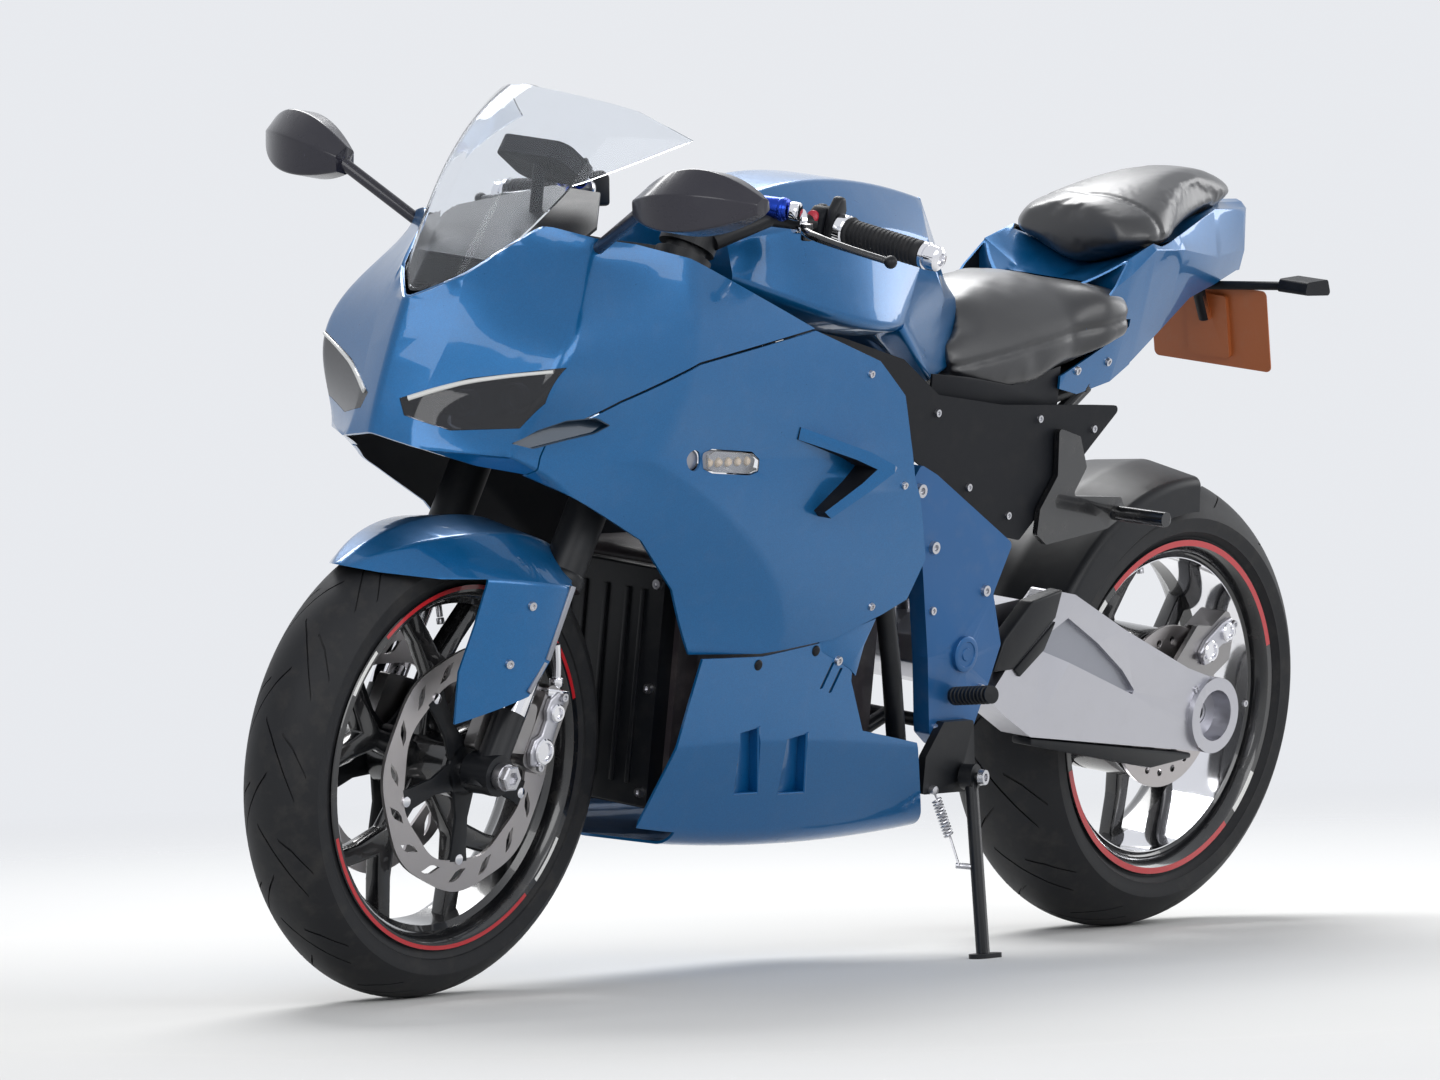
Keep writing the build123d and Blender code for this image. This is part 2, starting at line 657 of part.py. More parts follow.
# Columns: x, then the half outline from the middle below to the middle on top
pillion_levels = [
    (226, [(12, 926), (84, 950), (88, 960), (72, 986), (30, 1000)]),
    (186, [(12, 918), (116, 952), (121, 966), (98, 992), (42, 1012)]),
    (80, [(12, 950), (88, 971), (94, 982), (78, 1014), (36, 1037)]),
    (-30, [(12, 986), (52, 997), (57, 1006), (46, 1030), (22, 1048)]),
    (-112, [(8, 1012), (20, 1014), (25, 1019), (20, 1028), (10, 1032)]),
]
pillion_sections = [
    (x, [(y, z) for y, z in half] + [(-y, z) for y, z in reversed(half)]) for x, half in pillion_levels
]
pillion_seat = solid_sections(pillion_sections, 3, cross_plane)

# Tail: a thin shell open below, with a wall across it above the rider's seat
tail_levels = [
    (376, [(122, 748), (131, 850), (123, 872), (60, 868), (0, 886)]),
    (245, [(110, 772), (131, 918), (123, 938), (60, 906), (0, 896)]),
    (190, [(102, 796), (127, 950), (119, 958), (60, 930), (0, 912)]),
    (98, [(84, 838), (106, 948), (94, 966), (50, 950), (0, 938)]),
    (-40, [(54, 890), (62, 931), (48, 996), (24, 1002), (0, 1004)]),
    (-152, [(16, 906), (22, 936), (18, 994), (9, 1002), (0, 1005)]),
]


def tail_body(levels, inset, deepening):
    """The tail's form as a closed body, drawn in by an inset and carried down by a deepening."""
    with BuildPart() as made:
        for x, half in levels:
            slope = (half[1][0] - half[0][0]) / (half[1][1] - half[0][1])
            low = (half[0][0] - slope * deepening, half[0][1] - deepening)
            outline = [low, *half[1:], *[(-y, z) for y, z in reversed(half[1:-1])], (-low[0], low[1])]
            with BuildSketch(cross_plane(x)):
                Polygon(*outline, align=None)
                if inset:
                    offset(amount=-inset, kind=Kind.INTERSECTION)
        loft(ruled=True)
    return made.part


tail_cut = plate(
    [(241.5, 1100), (-260, 1100), (-260, 905), (-152, 908), (-138, 908), (-8, 886), (33, 878), (195, 796), (205, 758),
     (302, 753), (372, 766), (376, 800), (245, 935)], -300, 300
)
front_half, rear_half = tail_levels[1][1], tail_levels[-1][1]
front_hollow = tail_body([(390, tail_levels[0][1]), tail_levels[0], (245 + wall, front_half)], wall, 40)
rear_hollow = tail_body([(245, front_half), *tail_levels[2:-1], (-152 + wall, rear_half)], wall, 40)
tail = (tail_body(tail_levels, 0, 0) - front_hollow - rear_hollow) & tail_cut
rail_room = tube([(470, 92, 722), (250, 80, 770), (60, 60, 900)], 12.5, 60)
tail = fitted(tail - rail_room - mirrored(rail_room), rider_seat, pillion_seat)
pieces["rider_seat"] = rider_seat
pieces["pillion_seat"] = pillion_seat
pieces["tail_cowl"] = tail

# Lugs that carry the panels: a front stay off the head tube, and arms off the rails and the battery box
stay = rod(along_fork(-20, 0, 590), (1400, 0, 880), 11)
stay = stay + fitted(rod((1400, -260, 880), (1400, 260, 880), 9), shell)
stay = stay + fitted(rod((1400, 0, 880), (1400, 0, 990), 8), inner_cowl)
frame = frame + (stay - stem_room.part)
for side in (1, -1):
    frame = frame + fitted(rod((900, 50 * side, 729), (900, 50 * side, 900), 8), tank)
    frame = frame + fitted(rod((350, 86 * side, 747), (350, 86 * side, 830), 9), rider_seat)
    frame = frame + fitted(rod((150, 69.5 * side, 838), (150, 69.5 * side, 980), 8), tail, pillion_seat)
for side in (1, -1):
    panel = side_fairing if side > 0 else mirrored(side_fairing)
    for x, y, z in ((1000, 85, 776), (830, 103, 695)):
        frame = frame + fitted(rod((x, y * side, z), (x, 270 * side, z), 7), panel)
    for x, z in ((860, 510), (1050, 510)):
        battery_box = battery_box + fitted(rod((x, 100 * side, z), (x, 260 * side, z), 7), panel)
    for x, z in ((860, 300), (1050, 300)):
        battery_box = battery_box + fitted(rod((x, 100 * side, z), (x, 230 * side, z), 7), belly_pan)
    for x, y, z in ((600, 98, 703), (400, 88, 737)):
        frame = frame + rod((x, y * side, z), (x, 126.7 * side, z), 6)
    frame = frame + fitted(rod((300, 80 * side, 766), (300, 150 * side, 766), 7), tail)
pieces["main_frame"] = frame
pieces["battery_box"] = battery_box

# Plate holder with a blank plate, and the rear signal lamps on their stalks
plate_plane = Plane(origin=(-118, 0, 832), x_dir=(0, 1, 0), z_dir=(-0.967, 0, 0.255))
plate_holder = tube([(48.7, 0, 900), (-30, 0, 894), (-84, 0, 880), (-106, 0, 840)], 9, 16)
with BuildPart() as plate_back:
    with BuildSketch(plate_plane.offset(-6.3)):
        RectangleRounded(70, 90, 6)
    extrude(amount=6)
with BuildPart() as plate_room:
    with BuildSketch(plate_plane.offset(-0.3)):
        Rectangle(210, 130)
    extrude(amount=60)
plate_holder = fitted(plate_holder + plate_back.part, plate_room.part)
lamp_stalk = rod((-72, 0, 886), (-112, 150, 902), 6) + plate([(-90, 892), (-150, 892), (-140, 914), (-94, 910)], 128, 176, 5)
pieces["plate_holder"] = plate_holder + both(lamp_stalk)
with BuildPart() as number_plate:
    with BuildSketch(plate_plane):
        RectangleRounded(200, 116, 8)
    extrude(amount=2)
pieces["number_plate"] = number_plate.part

# Mirrors
mirror_sections = [
    (246, [(1430, 1014), (1434, 1034), (1414, 1046), (1400, 1040), (1398, 1020), (1410, 1010)]),
    (318, [(1444, 1004), (1448, 1050), (1420, 1082), (1384, 1078), (1374, 1030), (1392, 998)]),
    (408, [(1388, 1036), (1390, 1048), (1380, 1056), (1368, 1054), (1364, 1042), (1374, 1034)]),
]
mirror = solid_sections(mirror_sections, 4, side_plane)
mirror = mirror + fitted(rod((1376, 148, 962), (1416, 256, 1028), 8), shell, inner_cowl, windscreen)
pieces["mirror_left"] = mirror
pieces["mirror_right"] = mirrored(mirror)

# Foot pegs
pieces["rider_peg_left"] = fitted(rod((580, 150, 366), (600, 235, 382), 10), pivot_plate)
pieces["rider_peg_right"] = mirrored(pieces["rider_peg_left"])
hanger = plate(
    [(388, 716), (340, 704), (320, 662), (346, 624), (238, 620), (224, 597), (262, 578), (394, 560), (416, 574),
     (414, 608), (382, 652)], 134, 142, 5
)
hanger = hanger + rod((250, 138, 599), (254, 232, 602), 10) + fitted(rod((366, 90, 699), (366, 142, 699), 9), frame)
pieces["pillion_peg_left"] = hanger
pieces["pillion_peg_right"] = mirrored(hanger)

# Side stand: a bracket on the frame and a leg that reaches the floor
lean_a = math.radians(lean)
foot_y = 268
crown = (rear_half_width**2 + (rear_radius - 262) ** 2) / 2 / (rear_radius - 262)
floor_z = crown * (math.cos(lean_a) - 1)
foot_z = foot_y * math.tan(lean_a) + floor_z / math.cos(lean_a)
stand_pin = Vector(stand_x, 175, stand_z)
pin_way = Vector(-0.2, 1, 0.1).normalized()
stand_bracket = plate([(545, 335), (608, 335), (640, 290), (640, 240), (546, 240), (532, 264)], 152.3, 164, 5)
stand_bracket = stand_bracket + rod(stand_pin - pin_way * 16, stand_pin + pin_way * 18, 6)
pieces["stand_bracket"] = stand_bracket
stand = rod(stand_pin - pin_way * 6.5, stand_pin + pin_way * 12, 17)
stand = stand + rod(stand_pin + pin_way * 4, (609, foot_y - 4, foot_z + 3), 9)
stand = stand - rod(stand_pin - pin_way * 25, stand_pin + pin_way * 25, 6.3)
with BuildPart() as foot:
    with BuildSketch(Plane(origin=(609, foot_y, foot_z), x_dir=(1, 0, 0), z_dir=(0, -math.sin(lean_a), math.cos(lean_a)))):
        SlotOverall(54, 26)
    extrude(amount=6)
pieces["side_stand"] = stand + foot.part


# Lean each piece onto the stand, then set the origin at the bottom middle of the whole bike
leaned = {name: shape.rotate(Axis.X, -lean) for name, shape in pieces.items()}
boxes = [shape.bounding_box() for shape in leaned.values()]
drop = Vector(
    -(min(box.min.X for box in boxes) + max(box.max.X for box in boxes)) / 2,
    -(min(box.min.Y for box in boxes) + max(box.max.Y for box in boxes)) / 2,
    -min(box.min.Z for box in boxes),
)
for name, shape in leaned.items():
    placed = Part(shape.moved(Location(drop)).wrapped)
    placed.label = name
    print(name, type(shape).__name__, len(shape.solids()), round(shape.volume / 1000), shape.bounding_box())
    export_step(placed, f"parts/{name}.step")
print("moved by", drop)
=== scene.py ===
"""Electric sport motorcycle: finishes and fine pieces over its CAD frame."""

import json
import math

import bmesh
import bpy
from bpy.props import FloatProperty, FloatVectorProperty, PointerProperty
from bpy.types import Operator, Panel, PropertyGroup
from mathutils import Matrix, Vector
from mathutils.bvhtree import BVHTree

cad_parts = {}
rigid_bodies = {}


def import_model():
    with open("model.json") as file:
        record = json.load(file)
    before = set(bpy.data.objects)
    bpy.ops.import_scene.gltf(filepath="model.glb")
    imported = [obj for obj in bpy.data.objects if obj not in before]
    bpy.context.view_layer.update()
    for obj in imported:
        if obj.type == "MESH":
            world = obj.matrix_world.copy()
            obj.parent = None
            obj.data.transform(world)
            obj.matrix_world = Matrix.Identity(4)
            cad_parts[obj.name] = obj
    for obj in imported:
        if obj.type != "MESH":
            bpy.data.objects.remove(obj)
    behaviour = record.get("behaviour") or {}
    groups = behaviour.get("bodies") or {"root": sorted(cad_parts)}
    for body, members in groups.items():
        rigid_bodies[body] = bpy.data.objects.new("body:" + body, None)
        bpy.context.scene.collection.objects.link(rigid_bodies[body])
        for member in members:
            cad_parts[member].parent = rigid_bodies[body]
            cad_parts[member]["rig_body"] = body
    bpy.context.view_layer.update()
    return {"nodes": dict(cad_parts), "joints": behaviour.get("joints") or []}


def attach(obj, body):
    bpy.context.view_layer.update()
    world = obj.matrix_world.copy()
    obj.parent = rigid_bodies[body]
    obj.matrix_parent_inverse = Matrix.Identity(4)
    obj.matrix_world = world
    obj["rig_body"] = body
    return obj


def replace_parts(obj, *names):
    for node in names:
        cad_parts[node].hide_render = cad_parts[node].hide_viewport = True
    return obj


bl_info = {
    "name": "Electric sport motorcycle",
    "version": (1, 0, 0),
    "blender": (4, 5, 0),
    "location": "View3D > Sidebar > Motorcycle",
    "description": "Dresses the motorcycle's CAD frame with its finishes and fine pieces",
    "category": "Object",
}

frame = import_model()

# The bike is modelled upright in millimetres, x forward, y to its left, z up, with the ground under the
# rear axle as the origin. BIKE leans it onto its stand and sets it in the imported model's own place.
LEAN = math.radians(8.5)
RAKE = math.radians(24.5)
REAR_AXLE = Vector((0, 0, 315))
FRONT_AXLE = Vector((1450, 0, 300))
rear_spin = next(joint for joint in frame["joints"] if joint["name"] == "rear_axle_spin")
turned = Matrix.Rotation(-LEAN, 4, "X") @ Matrix.Scale(0.001, 4)
BIKE = Matrix.Translation(Vector(rear_spin["pos_m"]) - turned @ REAR_AXLE) @ turned
# The fork's own directions from the front axle: x forward off the legs, y left, z up the legs.
FORK = Matrix.Translation(FRONT_AXLE) @ Matrix.Rotation(-RAKE, 4, "Y")
FORK_UP = FORK.to_3x3() @ Vector((0, 0, 1))
LEFT = Vector((0, 1, 0))
# Further out to the side, and further forward, than any panel
BEYOND_SIDE = 420
BEYOND_NOSE = 1800
BEND_STEPS = 6


def linear(red, green, blue):
    """A colour for a shader from its 0 to 255 screen values."""
    return tuple(
        (c / 255 / 12.92) if c < 10.3 else ((c / 255 + 0.055) / 1.055) ** 2.4 for c in (red, green, blue)
    )


class BikeColours(PropertyGroup):
    """Colours of the bike's finishes."""

    paint: FloatVectorProperty(
        name="Paint", description="Blue of the panels", subtype="COLOR", default=linear(8, 94, 150), min=0,
        max=1
    )
    casting: FloatVectorProperty(
        name="Frame casting", description="Blue of the frame castings", subtype="COLOR",
        default=linear(28, 90, 146), min=0, max=1,
    )
    stripe: FloatVectorProperty(
        name="Rim stripe", description="Red of the rim stripes", subtype="COLOR",
        default=linear(190, 28, 38), min=0, max=1,
    )
    battery: FloatVectorProperty(
        name="Battery case", description="Dark brown of the battery case", subtype="COLOR",
        default=linear(52, 46, 50), min=0, max=1,
    )
    plate: FloatVectorProperty(
        name="Number plate", description="Orange-brown of the blank plate", subtype="COLOR",
        default=linear(168, 92, 48), min=0, max=1,
    )


class BikeSizes(PropertyGroup):
    """Sizes of the fine pieces, in millimetres."""

    edge: FloatProperty(name="Edge radius", description="Rounding of moulded edges", default=1.2, min=0.1,
                        max=4)
    bolt: FloatProperty(name="Bolt head", description="Radius of the panel bolts' heads", default=6.5, min=3,
                        max=12)
    groove: FloatProperty(name="Tread depth", description="Depth of the tyre grooves", default=3.0, min=0.5,
                          max=6)


class BikeView(PropertyGroup):
    """Camera and light."""

    azimuth: FloatProperty(
        name="Azimuth", description="Angle from the bike's left side toward its front", subtype="ANGLE",
        default=0.8840,
    )
    distance: FloatProperty(name="Distance", description="From the bike's middle", unit="LENGTH",
                            default=12.1866)
    height: FloatProperty(name="Height", description="Of the camera above the floor", unit="LENGTH",
                          default=0.7696)
    lens: FloatProperty(name="Lens", description="Focal length", unit="CAMERA", default=231.505)


# Finishes


def socket_group(name, inputs, outputs):
    """An empty shader node group with named sockets, and its input and output nodes."""
    group = bpy.data.node_groups.new(name, "ShaderNodeTree")
    for label, kind, value in inputs:
        made = group.interface.new_socket(label, in_out="INPUT", socket_type="NodeSocket" + kind)
        made.default_value = value
    for label, kind in outputs:
        group.interface.new_socket(label, in_out="OUTPUT", socket_type="NodeSocket" + kind)
    return group, group.nodes.new("NodeGroupInput"), group.nodes.new("NodeGroupOutput")


def node(tree, kind, **settings):
    """A new node with the given properties set."""
    made = tree.nodes.new("ShaderNode" + kind)
    for key, value in settings.items():
        setattr(made, key, value)
    return made


def noise(tree, vector, scale, detail=3.0, roughness=0.55):
    """A noise texture read from a vector socket."""
    made = node(tree, "TexNoise")
    made.inputs["Scale"].default_value = scale
    made.inputs["Detail"].default_value = detail
    made.inputs["Roughness"].default_value = roughness
    tree.links.new(vector, made.inputs["Vector"])
    return made.outputs["Fac"]


def math_node(tree, operation, first, second, clamp=False):
    """A math node whose two inputs are sockets or numbers."""
    made = node(tree, "Math", operation=operation, use_clamp=clamp)
    for index, value in enumerate((first, second)):
        if isinstance(value, (int, float)):
            made.inputs[index].default_value = value
        else:
            tree.links.new(value, made.inputs[index])
    return made.outputs[0]


def mix_colour(tree, factor, first, second, blend="MIX"):
    """A colour mix whose inputs are sockets or colours."""
    made = node(tree, "Mix", data_type="RGBA", blend_type=blend)
    for index, value in ((0, factor), (6, first), (7, second)):
        if hasattr(value, "links"):
            tree.links.new(value, made.inputs[index])
        else:
            made.inputs[index].default_value = value if index == 0 else (*value[:3], 1)
    return made.outputs[2]


def build_surface_group():
    """Fine grain, soft mottling and settled dust that every finish shares."""
    group, given, out = socket_group(
        "Surface wear",
        [
            ("Colour", "Color", (0.5, 0.5, 0.5, 1)), ("Roughness", "Float", 0.4),
            ("Grain scale", "Float", 900.0),
            ("Grain", "Float", 0.2), ("Mottle", "Float", 0.08), ("Dust", "Float", 0.1),
            ("Dust colour", "Color", (0.32, 0.29, 0.25, 1)),
        ],
        [("Colour", "Color"), ("Roughness", "Float"), ("Height", "Float")],
    )
    link = group.links.new
    place = node(group, "TexCoord").outputs["Object"]
    fine = node(group, "TexNoise")
    fine.inputs["Detail"].default_value = 2.0
    link(place, fine.inputs["Vector"])
    link(given.outputs["Grain scale"], fine.inputs["Scale"])
    broad = noise(group, place, 7.0, 4.0)
    streak = noise(group, place, 34.0, 5.0, 0.62)
    settled = math_node(group, "MULTIPLY", math_node(group, "SUBTRACT", streak, 0.5, True), 3.0, True)
    dusty = math_node(group, "MULTIPLY", settled, given.outputs["Dust"], True)
    shade = math_node(group, "MULTIPLY", math_node(group, "SUBTRACT", broad, 0.5), given.outputs["Mottle"])
    value = math_node(group, "ADD", 1.0, shade)
    lifted = node(group, "HueSaturation")
    link(given.outputs["Colour"], lifted.inputs["Color"])
    link(value, lifted.inputs["Value"])
    link(mix_colour(group, dusty, lifted.outputs[0], given.outputs["Dust colour"]), out.inputs["Colour"])
    rough = math_node(group, "ADD", given.outputs["Roughness"], math_node(group, "MULTIPLY", dusty, 0.5))
    grainy = math_node(group, "MULTIPLY", math_node(group, "SUBTRACT", streak, 0.5), 0.12)
    link(math_node(group, "ADD", rough, grainy, True), out.inputs["Roughness"])
    link(math_node(group, "MULTIPLY", fine.outputs["Fac"], given.outputs["Grain"]), out.inputs["Height"])
    return group


def build_flake_group():
    """Metal flake in a paint: tiny cells that vary the colour's brightness."""
    group, given, out = socket_group(
        "Metal flake", [("Colour", "Color", (0, 0, 1, 1)), ("Amount", "Float", 0.25)], [("Colour", "Color")]
    )
    cells = node(group, "TexVoronoi")
    cells.inputs["Scale"].default_value = 1500.0
    group.links.new(node(group, "TexCoord").outputs["Object"], cells.inputs["Vector"])
    centred = math_node(group, "SUBTRACT", node(group, "SeparateColor").outputs[0], 0.5)
    split = centred.node.inputs[0].links[0].from_node
    group.links.new(cells.outputs["Color"], split.inputs[0])
    value = math_node(group, "ADD", 1.0, math_node(group, "MULTIPLY", centred, given.outputs["Amount"]))
    sparkle = node(group, "HueSaturation")
    group.links.new(given.outputs["Colour"], sparkle.inputs["Color"])
    group.links.new(value, sparkle.inputs["Value"])
    group.links.new(sparkle.outputs[0], out.inputs["Colour"])
    return group


finishes = {}


def finish(name, colour, rough, metallic=0.0, coat=0.0, grain=(900.0, 0.2), bump=0.0002, mottle=0.08,
           dust=0.08, flake=0.0, **sockets):
    """A finish with the shared wear group feeding its colour, roughness and bump."""
    made = bpy.data.materials.new(name)
    made.use_nodes = True
    tree = made.node_tree
    shader = tree.nodes["Principled BSDF"]
    wear = node(tree, "Group", node_tree=bpy.data.node_groups["Surface wear"])
    wear.inputs["Roughness"].default_value = rough
    wear.inputs["Grain scale"].default_value = grain[0]
    wear.inputs["Grain"].default_value = grain[1]
    wear.inputs["Mottle"].default_value = mottle
    wear.inputs["Dust"].default_value = dust
    wear.inputs["Colour"].default_value = (*colour[:3], 1)
    if flake:
        spark = node(tree, "Group", node_tree=bpy.data.node_groups["Metal flake"])
        spark.inputs["Colour"].default_value = (*colour[:3], 1)
        spark.inputs["Amount"].default_value = flake
        tree.links.new(spark.outputs["Colour"], wear.inputs["Colour"])
    tree.links.new(wear.outputs["Colour"], shader.inputs["Base Color"])
    tree.links.new(wear.outputs["Roughness"], shader.inputs["Roughness"])
    relief = node(tree, "Bump")
    relief.inputs["Strength"].default_value = 0.6
    relief.inputs["Distance"].default_value = bump
    tree.links.new(wear.outputs["Height"], relief.inputs["Height"])
    tree.links.new(relief.outputs["Normal"], shader.inputs["Normal"])
    shader.inputs["Metallic"].default_value = metallic
    shader.inputs["Coat Weight"].default_value = coat
    shader.inputs["Coat Roughness"].default_value = 0.03
    for key, value in sockets.items():
        shader.inputs[key.replace("_", " ")].default_value = value
    made.diffuse_color = (*colour[:3], 1)
    finishes[name] = made
    return made


def build_finishes():
    """Every finish on the bike, from the colours in the sidebar."""
    colours = bpy.context.scene.bike_colours
    finish("paint", colours.paint, 0.3, 0.4, 0.8, bump=0.00003, mottle=0.05, dust=0.03, flake=0.3,
           Coat_IOR=1.4, Specular_IOR_Level=0.3)
    finish("casting_paint", colours.casting, 0.42, 0.3, 0.3, (1400.0, 0.5), 0.0003, 0.12, 0.08,
           Specular_IOR_Level=0.3)
    # Dark teal painted shade for the inside of the fairing scoops
    finish("casting_dark", linear(14, 44, 66), 0.4, 0.1, 0.3, bump=0.0001, dust=0.02)
    finish("rubber", linear(27, 28, 31), 0.6, grain=(900.0, 0.6), bump=0.0003, mottle=0.08, dust=0.07,
           Specular_IOR_Level=0.3)
    finish("gloss_black", linear(20, 21, 24), 0.25, 0.1, 0.8, bump=0.00004, dust=0.08)
    finish("satin_black", linear(20, 22, 26), 0.42, bump=0.0002, dust=0.03, Specular_IOR_Level=0.3)
    finish("plastic_black", linear(20, 22, 27), 0.5, grain=(1300.0, 0.8), bump=0.0003, dust=0.025,
           Specular_IOR_Level=0.16)
    finish("mirror_shell", linear(44, 43, 52), 0.28, 0.0, 0.3, bump=0.00005, dust=0.02,
           Specular_IOR_Level=0.3)
    finish("steel", linear(196, 196, 200), 0.28, 1.0, grain=(1600.0, 0.4), bump=0.0001, mottle=0.1,
           dust=0.04)
    finish("disc_steel", linear(178, 174, 174), 0.34, 1.0, grain=(2200.0, 0.6), bump=0.0001, mottle=0.15,
           dust=0.08)
    finish("grey_alloy", linear(150, 152, 160), 0.4, 0.8, grain=(1200.0, 0.5), bump=0.0002, dust=0.08)
    finish("caliper_alloy", linear(150, 148, 148), 0.3, 1.0, grain=(1500.0, 0.5), bump=0.0002, dust=0.1)
    finish("satin_alloy", linear(186, 186, 192), 0.34, 1.0, grain=(1400.0, 0.5), bump=0.0001, dust=0.05)
    finish("chrome", linear(232, 232, 236), 0.06, 1.0, bump=0.00002, dust=0.02)
    finish("battery_case", colours.battery, 0.45, 0.1, 0.1, (1200.0, 0.6), 0.0003, 0.15, 0.16)
    finish("seat_vinyl", linear(24, 25, 29), 0.42, coat=0.7, grain=(620.0, 0.7), bump=0.0004, mottle=0.06,
           dust=0.02, Coat_Roughness=0.34)
    finish("stripe_red", colours.stripe, 0.32, coat=0.6, bump=0.00004, dust=0.05)
    finish("plate_face", colours.plate, 0.5, grain=(800.0, 0.4), bump=0.0002, mottle=0.2, dust=0.12)
    finish("anodised_blue", linear(34, 66, 170), 0.25, 0.9, bump=0.00005, dust=0.03)
    finish("switch_red", linear(190, 40, 60), 0.35, bump=0.0001, dust=0.04)
    finish("clear_lens", (0.95, 0.96, 0.97), 0.03, bump=0.00002, mottle=0.0, dust=0.02,
           Transmission_Weight=0.92, IOR=1.2)
    finish("smoked_lens", (0.42, 0.44, 0.48), 0.04, bump=0.00002, mottle=0.0, dust=0.03,
           Transmission_Weight=0.85, IOR=1.3)
    finish("screen_clear", (0.86, 0.89, 0.93), 0.03, bump=0.00001, mottle=0.0, dust=0.03,
           Transmission_Weight=0.96, IOR=1.18)
    finish("headlight_cover", (0.07, 0.075, 0.09), 0.02, coat=0.4, bump=0.000005, mottle=0.0, dust=0.0,
           Transmission_Weight=0.8, IOR=1.3)
    finish("white_trim", (0.8, 0.8, 0.78), 0.3, coat=0.5, bump=0.00002, mottle=0.0, dust=0.02)
    finish("amber_lens", linear(214, 190, 160), 0.15, coat=0.6, bump=0.00003, dust=0.04)
    finish("red_lens", (0.5, 0.02, 0.02), 0.12, coat=0.8, bump=0.00004, dust=0.03)
    finish("mirror_glass", (0.9, 0.9, 0.92), 0.02, 1.0, bump=0.00001, mottle=0.0, dust=0.02)
    finish("display_glass", linear(14, 16, 22), 0.08, coat=1.0, bump=0.00001, dust=0.03)


# Modelling helpers


def finished(name, bm, material, body, crease=35, merge=0.01, turn_out=True, both=False):
    """Set a modelled piece in its place on the bike, on both sides if asked, and let it ride on a body."""
    if both:
        doubled(bm)
    if merge:
        bmesh.ops.remove_doubles(bm, verts=bm.verts, dist=merge)
    if turn_out:
        bmesh.ops.recalc_face_normals(bm, faces=bm.faces)
    bm.transform(BIKE)
    mesh = bpy.data.meshes.new(name)
    bm.to_mesh(mesh)
    bm.free()
    materials = material if isinstance(material, (list, tuple)) else [material]
    for each in materials:
        mesh.materials.append(finishes[each])
    mesh.shade_smooth()
    mesh.set_sharp_from_angle(angle=math.radians(crease))
    made = bpy.data.objects.new(name, mesh)
    bpy.context.scene.collection.objects.link(made)
    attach(made, body)
    return made


def body_name(part):
    """The body that a CAD node belongs to."""
    return frame["nodes"][part]["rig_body"]


def copied(part, flatten=0.6):
    """A merged copy of a CAD node's mesh, back in the upright bike's millimetres."""
    bm = bmesh.new()
    bm.from_mesh(frame["nodes"][part].data)
    bmesh.ops.remove_doubles(bm, verts=bm.verts, dist=0.00001)
    bm.transform(BIKE.inverted())
    if flatten:
        bmesh.ops.dissolve_limit(bm, angle_limit=math.radians(flatten), verts=bm.verts, edges=bm.edges)
    for face in bm.faces:
        face.material_index = 0
    return bm


def dressed(parts, material, edge=0.0, crease=35, flatten=0.6, segments=2):
    """CAD nodes' shapes with rounded edges and a finish, in place of the nodes."""
    for part in parts.split():
        made = finished("dressed_" + part, copied(part, flatten), material, body_name(part), crease=crease,
                        merge=0, turn_out=False)
        if edge:
            round_edges(made, edge, segments, crease)
        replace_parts(made, part)


def round_edges(made, width, segments=2, angle=35):
    """A bevel on a piece's sharp edges, its width in millimetres."""
    bevel = made.modifiers.new("Rounded edges", "BEVEL")
    bevel.width = width / 1000
    bevel.segments = segments
    bevel.limit_method = "ANGLE"
    bevel.angle_limit = math.radians(angle)
    bevel.harden_normals = True
    return bevel


def carved(bm, cutter):
    """The first mesh with the second cut out of it; both are used up."""
    pair = []
    for label, source in (("carve_base", bm), ("carve_tool", cutter)):
        bmesh.ops.recalc_face_normals(source, faces=source.faces)
        mesh = bpy.data.meshes.new(label)
        source.to_mesh(mesh)
        source.free()
        made = bpy.data.objects.new(label, mesh)
        bpy.context.scene.collection.objects.link(made)
        pair.append(made)
    cut = pair[0].modifiers.new("Cut", "BOOLEAN")
    cut.object = pair[1]
    cut.operation = "DIFFERENCE"
    cut.solver = "EXACT"
    bpy.context.view_layer.update()
    shaped = pair[0].evaluated_get(bpy.context.evaluated_depsgraph_get())
    result = bmesh.new()
    result.from_mesh(shaped.to_mesh())
    for made in pair:
        mesh = made.data
        bpy.data.objects.remove(made)
        bpy.data.meshes.remove(mesh)
    return result


def axis_frame(centre, axis, roll=0.0):
    """A frame whose z runs along an axis, turned about it by an angle."""
    turn = Vector(axis).normalized().to_track_quat("Z", "Y").to_matrix().to_4x4()
    return Matrix.Translation(Vector(centre)) @ turn @ Matrix.Rotation(roll, 4, "Z")


def lathe(bm, profile, centre=(0, 0, 0), axis=LEFT, steps=64):
    """A turned shape about an axis from (along, radius) points; a closed profile repeats its first point."""
    at = axis_frame(centre, axis)
    verts = [bm.verts.new(at @ Vector((radius, 0, along))) for along, radius in profile]
    edges = [bm.edges.new(pair) for pair in zip(verts, verts[1:]) if pair[0] != pair[1]]
    bmesh.ops.spin(
        bm, geom=verts + edges, cent=at.translation, axis=at.to_3x3() @ Vector((0, 0, 1)), angle=math.tau,
        steps=steps, use_merge=True,
    )
    bmesh.ops.remove_doubles(bm, verts=bm.verts, dist=0.001)


def spun(degrees):
    """A turn about z."""
    return Matrix.Rotation(math.radians(degrees), 4, "Z")


def side_frame(y):
    """A frame on the bike's side at y, with x forward, its y up and its z pointing to the right."""
    return Matrix(((1, 0, 0, 0), (0, 0, -1, y), (0, 1, 0, 0), (0, 0, 0, 1)))


